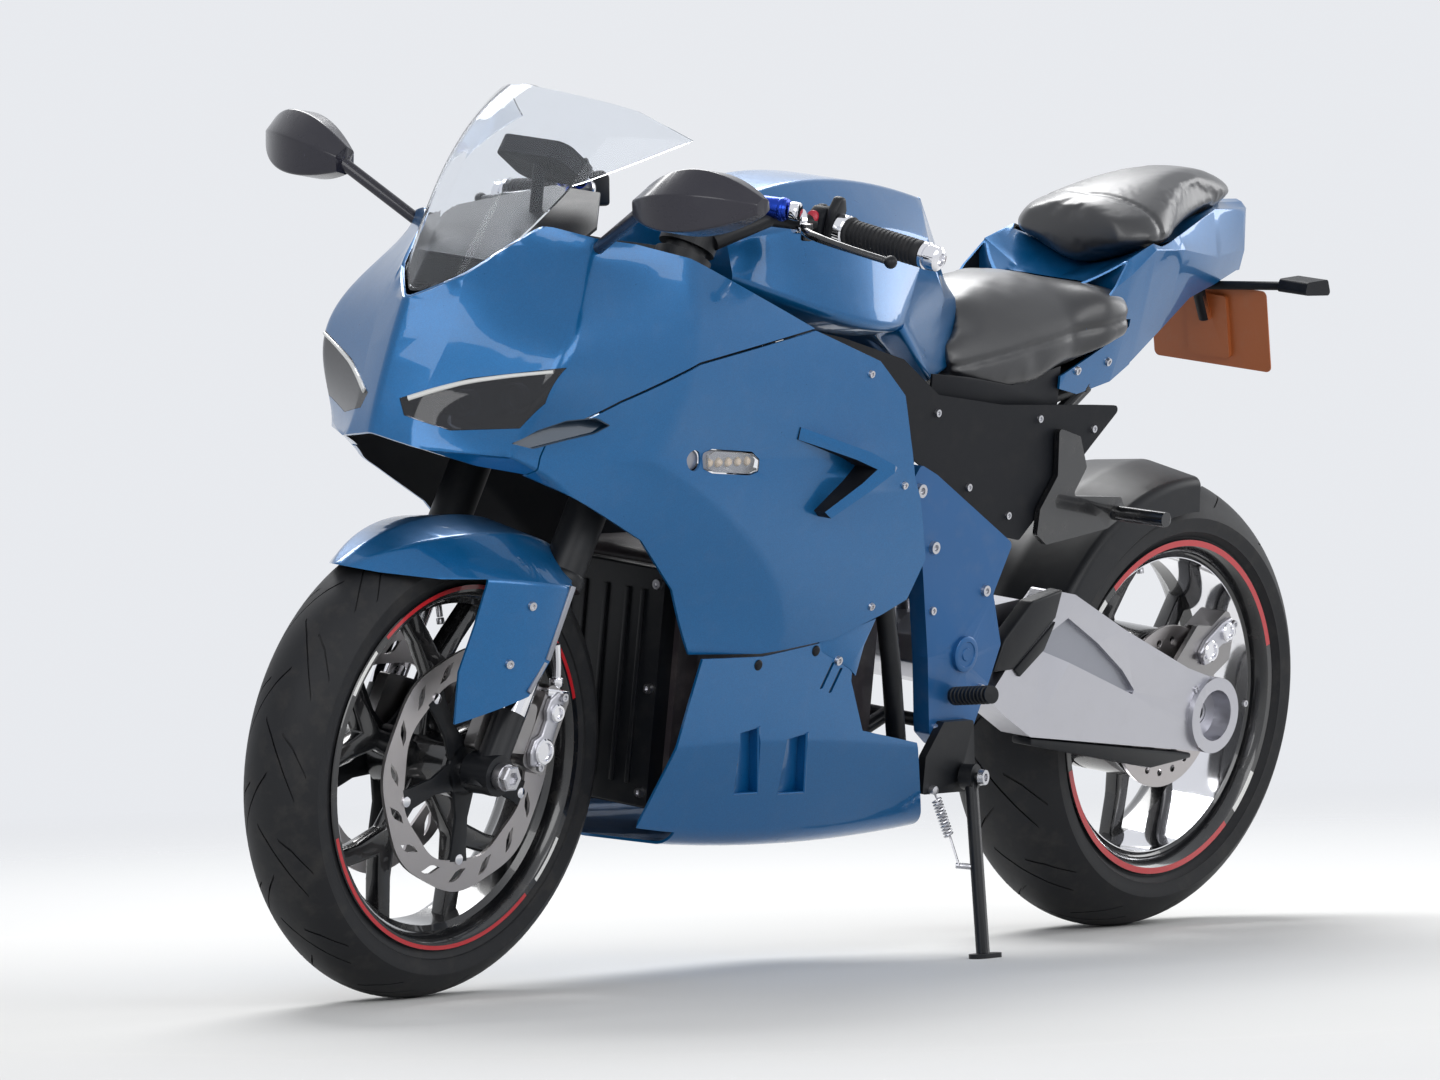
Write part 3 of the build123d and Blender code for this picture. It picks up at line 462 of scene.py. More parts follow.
def slab(bm, outline, thickness, at=Matrix(), edge=0.0, segments=2):
    """A plate from an outline, its thickness along the frame's z, with rounded edges."""
    verts = [bm.verts.new(at @ Vector((x, y, 0))) for x, y in outline]
    face = bm.faces.new(verts)
    made = bmesh.ops.extrude_face_region(bm, geom=[face])["geom"]
    moved = [item for item in made if isinstance(item, bmesh.types.BMVert)]
    bmesh.ops.translate(bm, verts=moved, vec=at.to_3x3() @ Vector((0, 0, thickness)))
    faces = {f for v in verts + moved for f in v.link_faces}
    edges = list({e for f in faces for e in f.edges})
    bmesh.ops.recalc_face_normals(bm, faces=list(faces))
    if edge:
        bmesh.ops.bevel(
            bm, geom=edges, offset=edge, segments=segments, profile=0.5, affect="EDGES", material=-1,
            clamp_overlap=True,
        )


def drum(bm, centre, axis, radius, length, edge=0.0, segments=32, taper=1.0):
    """A round bar with its base at centre, rounded at its ends."""
    at = axis_frame(Vector(centre) + Vector(axis).normalized() * length / 2, axis)
    made = bmesh.ops.create_cone(
        bm, cap_ends=True, segments=segments, radius1=radius, radius2=radius * taper, depth=length, matrix=at
    )["verts"]
    if edge:
        rims = [e for v in made for e in v.link_edges if any(len(f.verts) == segments for f in e.link_faces)]
        bmesh.ops.bevel(
            bm, geom=list(set(rims)), offset=edge, segments=2, profile=0.5, affect="EDGES", material=-1,
            clamp_overlap=True,
        )


def bolt(bm, centre, axis, radius, height=None):
    """A socket-head bolt standing on a surface, with its hexagon recess."""
    height = height or radius * 0.7
    at = axis_frame(Vector(centre) + Vector(axis).normalized() * height / 2, axis)
    made = bmesh.ops.create_cone(
        bm, cap_ends=True, segments=18, radius1=radius, radius2=radius * 0.9, depth=height, matrix=at
    )["verts"]
    top = [f for v in made[-18:] for f in v.link_faces if len(f.verts) == 18]
    top = sorted(set(top), key=lambda f: (f.calc_center_median() - Vector(centre)).dot(Vector(axis)))[-1:]
    bmesh.ops.inset_region(bm, faces=top, thickness=radius * 0.42, depth=0)
    bmesh.ops.inset_region(bm, faces=top, thickness=radius * 0.04, depth=-height * 0.5)


def path_points(points, bend):
    """Points along a path with a rounded bend at each corner."""
    points = [Vector(p) for p in points]
    line = [points[0]]
    for before, corner, after in zip(points, points[1:], points[2:]):
        reach_in = min(bend, (before - corner).length * 0.49)
        reach_out = min(bend, (after - corner).length * 0.49)
        start = corner + (before - corner).normalized() * reach_in
        end = corner + (after - corner).normalized() * reach_out
        for step in range(BEND_STEPS + 1):
            t = step / BEND_STEPS
            line.append(start * (1 - t) ** 2 + corner * 2 * t * (1 - t) + end * t**2)
    line.append(points[-1])
    return line


def tube(bm, points, radius, bend=30, segments=16):
    """A tube along a path, from circles bridged one to the next; radius may be one number or one per end."""
    line = path_points(points, bend)
    radii = radius if isinstance(radius, (list, tuple)) else (radius, radius)
    turn = (line[1] - line[0]).to_track_quat("Z", "Y")
    rings = []
    for index, point in enumerate(line):
        ahead = line[min(index + 1, len(line) - 1)] - line[max(index - 1, 0)]
        turn = (turn @ Vector((0, 0, 1))).rotation_difference(ahead.normalized()) @ turn
        share = index / (len(line) - 1)
        made = bmesh.ops.create_circle(
            bm, cap_ends=index in (0, len(line) - 1), segments=segments,
            radius=radii[0] * (1 - share) + radii[1] * share,
            matrix=Matrix.Translation(point) @ turn.to_matrix().to_4x4(),
        )["verts"]
        rings.append(made)
    for near, far in zip(rings, rings[1:]):
        loops = [e for ring in (near, far) for v in ring for e in v.link_edges if e.other_vert(v) in ring]
        bmesh.ops.bridge_loops(bm, edges=list(set(loops)))


def doubled(bm):
    """Add the mirror image of everything modelled so far on the right side."""
    copy = bmesh.ops.duplicate(bm, geom=bm.verts[:] + bm.edges[:] + bm.faces[:])["geom"]
    verts = [item for item in copy if isinstance(item, bmesh.types.BMVert)]
    faces = [item for item in copy if isinstance(item, bmesh.types.BMFace)]
    bmesh.ops.transform(bm, matrix=Matrix.Scale(-1, 4, LEFT), verts=verts)
    bmesh.ops.reverse_faces(bm, faces=faces)


class BikeOperator:
    """What every operator here shares."""

    bl_options = {"REGISTER", "UNDO"}


def waved(radius, swing):
    """A disc's outline with eight waves round it."""
    rows = ((math.tau * step / 144, radius + swing * math.cos(math.tau * step / 18)) for step in range(144))
    return [(reach * math.cos(turn), reach * math.sin(turn)) for turn, reach in rows]


surfaces = {}


def landing(parts, start, direction):
    """Where a straight line first meets CAD nodes, and the surface's direction there, in the upright bike."""
    hits = []
    for part in parts.split():
        if part not in surfaces:
            bm = copied(part, 0)
            surfaces[part] = BVHTree.FromBMesh(bm)
            bm.free()
        place, normal, _, reach = surfaces[part].ray_cast(Vector(start), Vector(direction).normalized())
        if place is not None:
            hits.append((reach, place, normal))
    if not hits:
        raise ValueError(f"nothing of {parts} lies along that line from {start}")
    _, place, normal = min(hits, key=lambda hit: hit[0])
    return place, normal if normal.dot(Vector(direction)) < 0 else -normal


def beside(parts, x, z, side=1):
    """Where CAD nodes first lie at (x, z) seen from the bike's side, and the surface's direction there."""
    return landing(parts, (x, BEYOND_SIDE * side, z), (0, -side, 0))


def side_bolts(bm, part, places, radius, side=1):
    """Bolts standing on a node's side at the given (x, z) places."""
    for x, z in places:
        place, normal = beside(part, x, z, side)
        bolt(bm, place - normal * 0.4, normal, radius)


def pocket(bm, part, outline, depths):
    """A tray sunk behind an opening in a node's left side, each corner at its own depth; returns its rim."""
    rim = [beside(part, x, z)[0] + Vector((0, -0.6, 0)) for x, z in outline]
    verts = [bm.verts.new(place) for place in rim]
    edges = [bm.edges.new(pair) for pair in zip(verts, verts[1:] + verts[:1])]
    walls = bmesh.ops.extrude_edge_only(bm, edges=edges)["geom"]
    for vert, depth in zip([item for item in walls if isinstance(item, bmesh.types.BMVert)], depths):
        vert.co.y -= depth
    floor = [item for item in walls if isinstance(item, bmesh.types.BMEdge)]
    floor = bmesh.ops.contextual_create(bm, geom=floor)["faces"]
    faces = floor + [item for item in walls if isinstance(item, bmesh.types.BMFace)]
    bmesh.ops.recalc_face_normals(bm, faces=faces)
    bmesh.ops.solidify(bm, geom=faces, thickness=1.5)
    return rim


# Pieces


# The scoop in each side fairing, below its seam with the nose; its tray takes a dark teal that paints the
# shade inside the scoop
SCOOP = [(1510, 722), (1484, 741), (1448, 754), (1404, 758), (1378, 748), (1398, 737), (1440, 727),
         (1480, 716)]


class BIKE_OT_panels(BikeOperator, Operator):
    """Painted body panels with rounded edges and dark insides"""

    bl_idname = "bike.panels"
    bl_label = "Painted panels"

    def execute(self, context):
        edge = context.scene.bike_sizes.edge
        # Columns: panel, and a point that its inside faces
        for part, inside in (
            ("front_cowl", (1330, 0, 760)), ("side_fairing_left", (1150, 0, 640)),
            ("side_fairing_right", (1150, 0, 640)),
            ("tail_cowl", (120, 0, 860)), ("front_mudguard", FRONT_AXLE),
        ):
            bm = copied(part)
            if part.startswith("side_fairing") or part == "front_cowl":
                cutter = bmesh.new()
                for y in (260, -120):
                    slab(cutter, SCOOP, 140, side_frame(y), 3)
                bm = carved(bm, cutter)
            bmesh.ops.dissolve_limit(bm, angle_limit=math.radians(0.6), verts=bm.verts, edges=bm.edges)
            for face in bm.faces:
                outward = face.calc_center_median() - Vector(inside)
                face.material_index = 1 if face.normal.dot(outward) < 0 else 0
            made = finished("dressed_" + part, bm, ["paint", "plastic_black"], body_name(part), merge=0,
                            turn_out=False)
            round_edges(made, edge)
            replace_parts(made, part)
        dressed("tank", "paint", edge)
        scoops, backing = bmesh.new(), bmesh.new()
        pocket(scoops, "side_fairing_left front_cowl", SCOOP, (4, 14, 26, 30, 12, 6, 4, 4))
        line = []
        for x, z in ((1396, 767), (1374, 778), (1300, 807), (1248, 826), (1150, 845), (1050, 861)):
            place, _ = beside("front_cowl", x, z + 7)
            line.append(Vector((x, place.y - 8.5, z)))
        tube(backing, line, 5, 12, 10)
        # The scoop trays are dark teal, painted shade inside the scoops
        finished("fairing_scoops", scoops, "casting_dark", "frame", turn_out=False, both=True)
        finished("seam_backing", backing, "plastic_black", "frame", both=True)
        return {"FINISHED"}


class BIKE_OT_belly(BikeOperator, Operator):
    """Belly pan with its slanted pockets, slits, clips and screws"""

    bl_idname = "bike.belly"
    bl_label = "Belly pan"

    def execute(self, context):
        sizes = context.scene.bike_sizes
        vents = [[(1060, 346), (1024, 352), (990, 262), (1038, 262)],
                 [(964, 334), (925, 340), (896, 258), (950, 258)]]
        slits = [((906, 396), (886, 430)), ((887, 390), (868, 422))]
        cutter = bmesh.new()
        for side in (1, -1):
            at = side_frame(230 if side > 0 else -140)
            for outline in vents:
                slab(cutter, outline, 90, at, 4)
            for low, high in slits:
                slab(cutter, [(low[0] + 3, low[1]), (low[0] - 3, low[1]), (high[0] - 3, high[1]),
                              (high[0] + 3, high[1])], 90, at, 2)
        pan = carved(copied("belly_pan"), cutter)
        made = finished("belly_with_vents", pan, "paint", "frame")
        round_edges(made, sizes.edge * 0.8)
        pockets, lips = bmesh.new(), bmesh.new()
        for outline in vents:
            rim = pocket(pockets, "belly_pan", outline, (3, 15, 15, 3))
            tube(lips, [rim[1], rim[2]], (2.6, 2.0), 2, 12)
            tube(lips, [rim[2] + Vector((2, 0, 0)), rim[3]], (1.6, 1.2), 2, 12)
        finished("belly_pockets", pockets, "paint", "frame", turn_out=False, both=True)
        finished("belly_pocket_lips", lips, "paint", "frame", both=True)
        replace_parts(made, "belly_pan")
        screws, clips = bmesh.new(), bmesh.new()
        for side in (1, -1):
            side_bolts(screws, "belly_pan", [(878, 432)], sizes.bolt, side)
            for x, z in ((1038, 432), (925, 446)):
                place, normal = beside("belly_pan", x, z, side)
                drum(clips, place - normal * 0.5, normal, 8, 3, 1, 20, 0.7)
        corners = bmesh.new()
        top, low = (beside("belly_pan", x, z)[0].y for x, z in ((912, 448), (856, 424)))
        slab(corners, [(920, 457), (806, 484), (826, 450), (838, 410), (852, 420), (912, 444)], 4,
             side_frame((top + low) / 2 + 0.6), 1)
        finished("belly_corners", corners, "paint", "frame", both=True)
        finished("belly_screws", screws, "steel", "frame")
        finished("belly_clips", clips, "plastic_black", "frame")
        return {"FINISHED"}


class BIKE_OT_fairing_details(BikeOperator, Operator):
    """Indicators set in the fairings, and the panels' screws"""

    bl_idname = "bike.fairing_details"
    bl_label = "Fairing details"

    def execute(self, context):
        sizes = context.scene.bike_sizes
        outline = [(1196, 688), (1211, 693), (1213, 710), (1199, 715), (1123, 710), (1109, 701), (1110, 688),
                   (1125, 684)]
        lens, bowl, lamps, screws = bmesh.new(), bmesh.new(), bmesh.new(), bmesh.new()
        place, _ = beside("side_fairing_left", 1160, 730)
        slab(lens, outline, 4, side_frame(place.y + 2.5), 1.6, 3)
        slab(bowl, outline, 5, side_frame(place.y - 9), 1)
        for x in (1125, 1143, 1161, 1179, 1197):
            drum(lamps, (x, place.y - 9, 699), LEFT, 6, 5, 1.2, 16, 0.6)
        drum(bowl, (1232, place.y - 12, 703), LEFT, 12.5, 4, 1, 24)
        finished("indicator_lenses", lens, "clear_lens", "frame", both=True)
        finished("indicator_bowls", bowl, "grey_alloy", "frame", both=True)
        finished("indicator_lamps", lamps, "amber_lens", "frame", both=True)
        for side, part in ((1, "side_fairing_left"), (-1, "side_fairing_right")):
            side_bolts(screws, part, [(905, 808), (814, 662), (838, 503)], sizes.bolt * 0.8, side)
        finished("fairing_screws", screws, "steel", "frame")
        return {"FINISHED"}


class BIKE_OT_headlights(BikeOperator, Operator):
    """Headlights: dark covers, bowls, twin lamps and a white trim along the top"""

    bl_idname = "bike.headlights"
    bl_label = "Headlights"

    def execute(self, context):
        outline = [(30, 760), (97, 790), (192, 814), (180, 774), (156, 746), (88, 736), (38, 748)]
        bowl, trim, rings, glass = bmesh.new(), bmesh.new(), bmesh.new(), bmesh.new()
        line = []
        for y, z in ((36, 765), (66, 780), (97, 793), (145, 806), (190, 816)):
            place, normal = landing("headlight_left", (BEYOND_NOSE, y, z), (-1, 0, 0))
            line.append(place + normal * 0.6)
        tube(trim, line, (3.4, 2.2), 20, 10)
        verts = []
        for y, z in outline:
            place, _ = landing("headlight_left", (BEYOND_NOSE, y, z), (-1, 0, 0))
            verts.append(bowl.verts.new(place + Vector((-6, 0, 0))))
        face = bowl.faces.new(verts)
        bmesh.ops.inset_region(bowl, faces=[face], thickness=4, depth=0)
        bmesh.ops.inset_region(bowl, faces=[face], thickness=10, depth=0)
        bmesh.ops.translate(bowl, verts=face.verts, vec=(-62, -6, -2))
        bmesh.ops.solidify(bowl, geom=bowl.faces[:], thickness=1.5)
        for y, z, radius in ((82, 764, 17), (134, 776, 19)):
            place, _ = landing("headlight_left", (BEYOND_NOSE, y, z), (-1, 0, 0))
            centre = place + Vector((-40, 0, 0))
            lathe(rings, [(0, radius), (14, radius), (17, radius - 1.5), (14, radius - 4), (2, radius - 5),
                          (0, radius)],
                  centre, (1, 0.12, 0), 36)
            lathe(glass, [(2, radius - 4.4), (8, radius - 4.4), (13, (radius - 4) * 0.6), (14.6, 0.01)],
                  centre, (1, 0.12, 0), 32)
        finished("headlight_bowls", bowl, "gloss_black", "frame", turn_out=False, both=True)
        finished("headlight_trims", trim, "white_trim", "frame", both=True)
        finished("lamp_rings", rings, "grey_alloy", "frame", both=True)
        finished("lamp_glasses", glass, "smoked_lens", "frame", turn_out=False, both=True)
        dressed("headlight_left headlight_right", "headlight_cover", 0.6)
        return {"FINISHED"}


class BIKE_OT_screen(BikeOperator, Operator):
    """Clear windscreen"""

    bl_idname = "bike.screen"
    bl_label = "Windscreen"

    def execute(self, context):
        dressed("windscreen", "screen_clear", 0.8, flatten=0)
        return {"FINISHED"}


class BIKE_OT_cockpit(BikeOperator, Operator):
    """Dark panel under the screen, the instrument and the fork's top"""

    bl_idname = "bike.cockpit"
    bl_label = "Cockpit"

    def execute(self, context):
        dressed("inner_cowl", "plastic_black", 1)
        dressed("instrument", "plastic_black", 3, segments=3)
        dressed("triple_clamps", "satin_black", 2)
        face = axis_frame((1322, 0, 1046), (-0.5, 0, 0.866))
        glass, caps, nut, keys = bmesh.new(), bmesh.new(), bmesh.new(), bmesh.new()
        slab(glass, [(-42, -26), (42, -26), (48, -16), (44, 26), (-44, 26), (-48, -16)], 1.6,
             face @ Matrix.Translation((0, 0, 23.6)), 0.6)
        finished("display", glass, "display_glass", "frame")
        for side in (1, -1):
            lathe(caps, [(0, 26.6), (6, 26.6), (8, 24), (8, 16), (14, 14), (14, 6), (10, 5), (10, 0.01)],
                  FORK @ Vector((0, 105 * side, 759)), FORK_UP, 36)
            drum(keys, face @ Vector((20 * side, -31, 22)), face.to_3x3() @ Vector((0, 0, 1)), 4, 4, 0.8, 16)
        finished("fork_caps", caps, "anodised_blue", "steering")
        finished("display_keys", keys, "satin_black", "frame")
        lathe(nut, [(0, 0.01), (0, 22), (6, 22), (8, 20), (8, 12), (2, 11), (2, 0.01)],
              FORK @ Vector((-33.4, 0, 711)), FORK_UP, 6)
        finished("stem_nut", nut, "steel", "steering", crease=20)
        return {"FINISHED"}


class BIKE_OT_controls(BikeOperator, Operator):
    """Clip-on bars, ribbed grips, levers, switches and bar-end weights"""

    bl_idname = "bike.controls"
    bl_label = "Controls"

    def execute(self, context):
        dressed("handlebars", "satin_black", 1)
        start, end = Vector((985, 232, 992)), Vector((972, 346, 976))
        along = (end - start).normalized()
        length = (end - start).length
        clamps, collars, grips, weights = (bmesh.new() for _ in range(4))
        levers, balls, perches, switches, red = (bmesh.new() for _ in range(5))
        drum(clamps, (1068, 150, 1016), (-0.3, 1, -0.02), 14, 40, 2.5, 36)
        drum(clamps, (1060, 178, 1015), (-0.3, 1, -0.02), 15.5, 7, 1.5, 36)
        finished("bar_caps", clamps, "anodised_blue", "steering", both=True)
        lathe(collars, [(0, 11.5), (0, 18), (2, 20), (12, 20), (14, 18), (14, 11.5), (0, 11.5)],
              start - along * 15, along, 36)
        lathe(collars, [(0, 11.5), (0, 15), (1.5, 16.5), (9, 16.5), (10, 15), (10, 11.5), (0, 11.5)],
              Vector((1062, 164, 1002)).lerp(start - along * 36, 0.45),
              (start - along * 36) - Vector((1062, 164, 1002)), 36)
        drum(collars, (1052, 189, 1014), (-0.3, 1, -0.02), 12, 12, 1.5, 32)
        finished("bar_collars", collars, "chrome", "steering", both=True)
        ribs = [(0, 11.3), (0, 19), (3, 20), (5, 19)]
        count = 16
        for index in range(count):
            place = 6 + (length - 14) * index / count
            ribs += [(place, 16.2), (place + 2.6, 16.2), (place + 3.1, 17.3), (place + 5.6, 17.3)]
        ribs += [(length - 4, 17), (length - 2, 16), (length - 2, 11.3), (0, 11.3)]
        lathe(grips, ribs, start, along, 32)
        made = finished("ribbed_grips", grips, "rubber", "steering", crease=50, both=True)
        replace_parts(made, "grips")
        lathe(weights, [(-1, 0.01), (-1, 14), (0, 17.5), (5, 17.5), (6, 15.5), (8, 15.5), (9, 17), (22, 16),
                        (25, 13), (26, 8), (22, 7), (22, 0.01)], end, along, 36)
        finished("bar_end_weights", weights, "chrome", "steering", both=True)
        slab(perches, [(-14, -13), (24, -13), (40, -5), (40, 6), (22, 15), (-14, 15)], 14,
             axis_frame(start - along * 30, along, math.radians(90)), 4, 3)
        finished("lever_perches", perches, "satin_black", "steering", both=True)
        tube(levers, [(1040, 206, 990), (1058, 226, 988), (1056, 272, 980), (1037, 338, 968)], (6.4, 4.6),
             26, 16)
        drum(levers, (1036, 206, 978), (0.1, 0, 1), 8, 22, 1.5)
        made = finished("brake_and_clutch_levers", levers, "gloss_black", "steering", both=True)
        bmesh.ops.create_uvsphere(balls, u_segments=24, v_segments=14, radius=8.5,
                                  matrix=Matrix.Translation((1035, 343, 967)))
        finished("lever_balls", balls, "satin_black", "steering", both=True)
        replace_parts(made, "levers")
        at = axis_frame(start - along * 54, along, math.radians(90))
        slab(switches, [(-22, -19), (17, -19), (23, -10), (23, 11), (13, 20), (-15, 20), (-23, 10)], 24, at,
             5, 3)
        drum(switches, start - along * 46 + Vector((-4, 0, 17)), (0, 0, 1), 6, 7, 2, 20)
        finished("switch_blocks", switches, "plastic_black", "steering", both=True)
        drum(red, start - along * 42 + Vector((17, 0, 8)), (1, 0.25, 0.25), 8.5, 7, 3, 24)
        finished("stop_switch", red, "switch_red", "steering")
        return {"FINISHED"}


class BIKE_OT_mirrors(BikeOperator, Operator):
    """Angular mirrors with their glasses"""

    bl_idname = "bike.mirrors"
    bl_label = "Mirrors"

    def execute(self, context):
        backs, glasses = bmesh.new(), bmesh.new()
        face = axis_frame((1373, 318, 1036), (-1, -0.2, 0))
        slab(backs, [(56, -16), (26, -33), (-27, -28), (-78, 2), (-69, 18), (-2, 36), (46, 14)], 12,
             face @ Matrix.Translation((0, 0, -12)), 3, 3)
        slab(glasses, [(50, -14), (24, -28), (-25, -23), (-70, 3), (-64, 13), (-2, 30), (42, 11)], 1.6,
             face @ Matrix.Translation((0, 0, -1)), 0.4)
        finished("mirror_backs", backs, "mirror_shell", "frame", both=True)
        finished("mirror_glasses", glasses, "mirror_glass", "frame", both=True)
        dressed("mirror_left mirror_right", "mirror_shell", 1.5, 25)
        return {"FINISHED"}


def puffed(part, cap):
    """A seat's cushion swollen by cloth pressure from its CAD shape, each point's travel capped in mm."""
    bm = copied(part, 0)
    middle = sum((v.co for v in bm.verts), Vector()) / len(bm.verts)
    bmesh.ops.scale(bm, vec=(0.985, 0.965, 0.94), space=Matrix.Translation(-middle), verts=bm.verts)
    cushion = finished("cushion_of_" + part, bm, "seat_vinyl", "frame", merge=0, turn_out=False)
    remesh = cushion.modifiers.new("Even mesh", "REMESH")
    remesh.mode = "VOXEL"
    remesh.voxel_size = 0.005
    soften = cushion.modifiers.new("Softened", "SMOOTH")
    soften.iterations = 22
    settle(cushion)
    rest = [v.co.copy() for v in cushion.data.vertices]
    cloth = cushion.modifiers.new("Cushion", "CLOTH")
    cloth.settings.use_pressure = True
    cloth.settings.uniform_pressure_force = 4
    cloth.settings.effector_weights.gravity = 0
    for number in range(1, 21):
        bpy.context.scene.frame_set(number)
    settle(cushion)
    bpy.context.scene.frame_set(1)
    for vert, start in zip(cushion.data.vertices, rest):
        move = vert.co - start
        if move.length > cap / 1000:
            vert.co = start + move.normalized() * cap / 1000
    return cushion


def squared(place):
    """A point of the upright bike's rider cushion, with the corners behind the rider filled out."""
    share = min(max((350 - place.x) / 45, 0), 1) * min(max((place.x - 234) / 8, 0), 1)
    half = 143 - 16 * (1 - math.sqrt(1 - min(max((272 - place.x) / 30, 0), 1) ** 2))
    floor, top = 806 + (350 - place.x) * 0.344, 907 - (350 - place.x) * 0.08
    across, up = abs(place.y) / half, max((place.z - floor) / (top - floor), 0)
    reach = (across**6 + up**6) ** (1 / 6)
    if not share or reach < 0.7:
        return place
    grow = 1 + (min(1 / reach, 1.25) - 1) * share
    return Vector((place.x, place.y * grow, floor + (place.z - floor) * grow if up else place.z))


def settle(made):
    """Apply a piece's modifiers to its mesh."""
    bpy.context.view_layer.update()
    shaped = bpy.data.meshes.new_from_object(made.evaluated_get(bpy.context.evaluated_depsgraph_get()))
    made.modifiers.clear()
    old = made.data
    made.data = shaped
    bpy.data.meshes.remove(old)


class BIKE_OT_seats(BikeOperator, Operator):
    """Rider's and pillion's cushions with their seams"""

    bl_idname = "bike.seats"
    bl_label = "Seats"

    def execute(self, context):
        inverse = BIKE.inverted()
        for part, cap in (("rider_seat", 9), ("pillion_seat", 8)):
            cushion = puffed(part, cap)
            if part == "rider_seat":
                for vert in cushion.data.vertices:
                    vert.co = BIKE @ squared(inverse @ vert.co)
                cushion.modifiers.new("Evened", "SMOOTH").iterations = 30
                settle(cushion)
            for vert in cushion.data.vertices:
                place = inverse @ vert.co
                if part == "pillion_seat":
                    seam = place.x - 188 + abs(place.y) * 0.22
                    shown = min(max((place.z - 955) / 12, 0), 1)
                else:
                    seam = (place.z - 842 - max(0, 350 - place.x) * 0.2 + max(0, place.x - 350) * 0.22) * 0.9
                    shown = min(max((abs(place.y) - 60) / 20, 0), 1)
                vert.co -= vert.normal * 0.0034 * math.exp(-((seam / 3.6) ** 2)) * shown
            smooth = cushion.modifiers.new("Smooth cover", "SUBSURF")
            smooth.levels = smooth.render_levels = 1
            cushion.data.shade_smooth()
            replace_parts(cushion, part)
        return {"FINISHED"}


class BIKE_OT_tail(BikeOperator, Operator):
    """Tail lamp, undertray, blank plate on its holder, and stalk indicators"""

    bl_idname = "bike.tail"
    bl_label = "Tail"

    def execute(self, context):
        holder = copied("plate_holder")
        for face in holder.faces:
            middle = face.calc_center_median()
            face.material_index = 1 if middle.z < 886 and abs(middle.y) < 60 and middle.x < -96 else 0
        made = finished("plate_carrier", holder, ["plastic_black", "plate_face"], "frame", merge=0)
        round_edges(made, 0.8)
        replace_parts(made, "plate_holder")
        dressed("number_plate", "plate_face", 0.5)
        lamp, tray, lenses, bolts = (bmesh.new() for _ in range(4))
        slab(lamp, [(-15, -26), (15, -26), (10, 26), (-10, 26)], 5,
             axis_frame((-149.5, 0, 952), (-1, 0, 0.04)), 2.4, 3)
        finished("tail_lamp", lamp, "red_lens", "frame")
        plate = axis_frame((-118, 0, 832), (-0.967, 0, 0.255))
        for side in (1, -1):
            bolt(bolts, plate @ Vector((60 * side, 30, 1.8)), plate.to_3x3() @ Vector((0, 0, 1)), 5)
            slab(lenses, [(-21, -8), (21, -8), (18, 8), (-18, 8)], 5,
                 axis_frame((-143, 152 * side, 902), (-1, 0, 0)), 2, 3)
            side_bolts(bolts, "tail_cowl", [(336, 790), (262, 800)], 6, side)
        finished("tail_bolts", bolts, "steel", "frame")
        finished("rear_indicators", lenses, "amber_lens", "frame")
        # Columns: x, height of the tray's edge, its half width
        rows = []
        for x, z, half in ((372, 780, 112), (245, 800, 100), (188, 812, 92), (98, 862, 74), (-40, 902, 44),
                           (-138, 918, 14)):
            rows.append([tray.verts.new((x, -half, z)), tray.verts.new((x, half, z))])
        for near, far in zip(rows, rows[1:]):
            tray.faces.new((near[0], near[1], far[1], far[0]))
        bmesh.ops.solidify(tray, geom=tray.faces[:], thickness=3)
        finished("undertray", tray, "plastic_black", "frame")
        skirt = bmesh.new()
        slab(skirt, [(640, 742), (640, 790), (560, 784), (470, 772), (400, 788), (366, 796), (366, 742)], 4,
             side_frame(118), 1)
        finished("seat_skirts", skirt, "plastic_black", "frame", both=True)
        return {"FINISHED"}


class BIKE_OT_frame(BikeOperator, Operator):
    """Frame tubes, blue side castings with their plugs and bolts, and the black side covers"""

    bl_idname = "bike.frame"
    bl_label = "Frame"

    def execute(self, context):
        sizes = context.scene.bike_sizes
        tubes = copied("main_frame")
        for vert in tubes.verts:
            if abs(vert.co.x - 300) < 12 and abs(vert.co.z - 766) < 12 and abs(vert.co.y) > 116:
                vert.co.y = math.copysign(112, vert.co.y)
        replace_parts(finished("frame_tubes", tubes, "satin_black", "frame"), "main_frame")
        dressed("pivot_axle", "steel", 0.6)
        dressed("pivot_plate_left pivot_plate_right", "casting_paint", 3, segments=3)
        dressed("side_cover_left side_cover_right", "plastic_black", 1.2)
        bolts, plugs, screws = bmesh.new(), bmesh.new(), bmesh.new()
        for side in (1, -1):
            for x, z, radius in ((690, 642, 10), (650, 566, 9), (532, 505, 8), (524, 372, 9), (606, 324, 9),
                                 (640, 482, 6)):
                bolt(bolts, (x, 151.6 * side, z), (0, side, 0), radius)
            lathe(plugs, [(0, 24), (1, 24), (2, 22.5), (2, 17), (0.6, 16), (0.6, 9), (2, 8), (2, 0.01)],
                  (565, 156.6 * side, 422), (0, side, 0), 40)
            for x, z in ((800, 786), (560, 640), (470, 600), (300, 712), (420, 728), (640, 740)):
                bolt(screws, (x, 130.6 * side, z), (0, side, 0), sizes.bolt * 0.85)
        finished("casting_bolts", bolts, "steel", "frame")
        finished("pivot_plugs", plugs, "casting_paint", "frame")
        finished("cover_screws", screws, "steel", "frame")
        return {"FINISHED"}


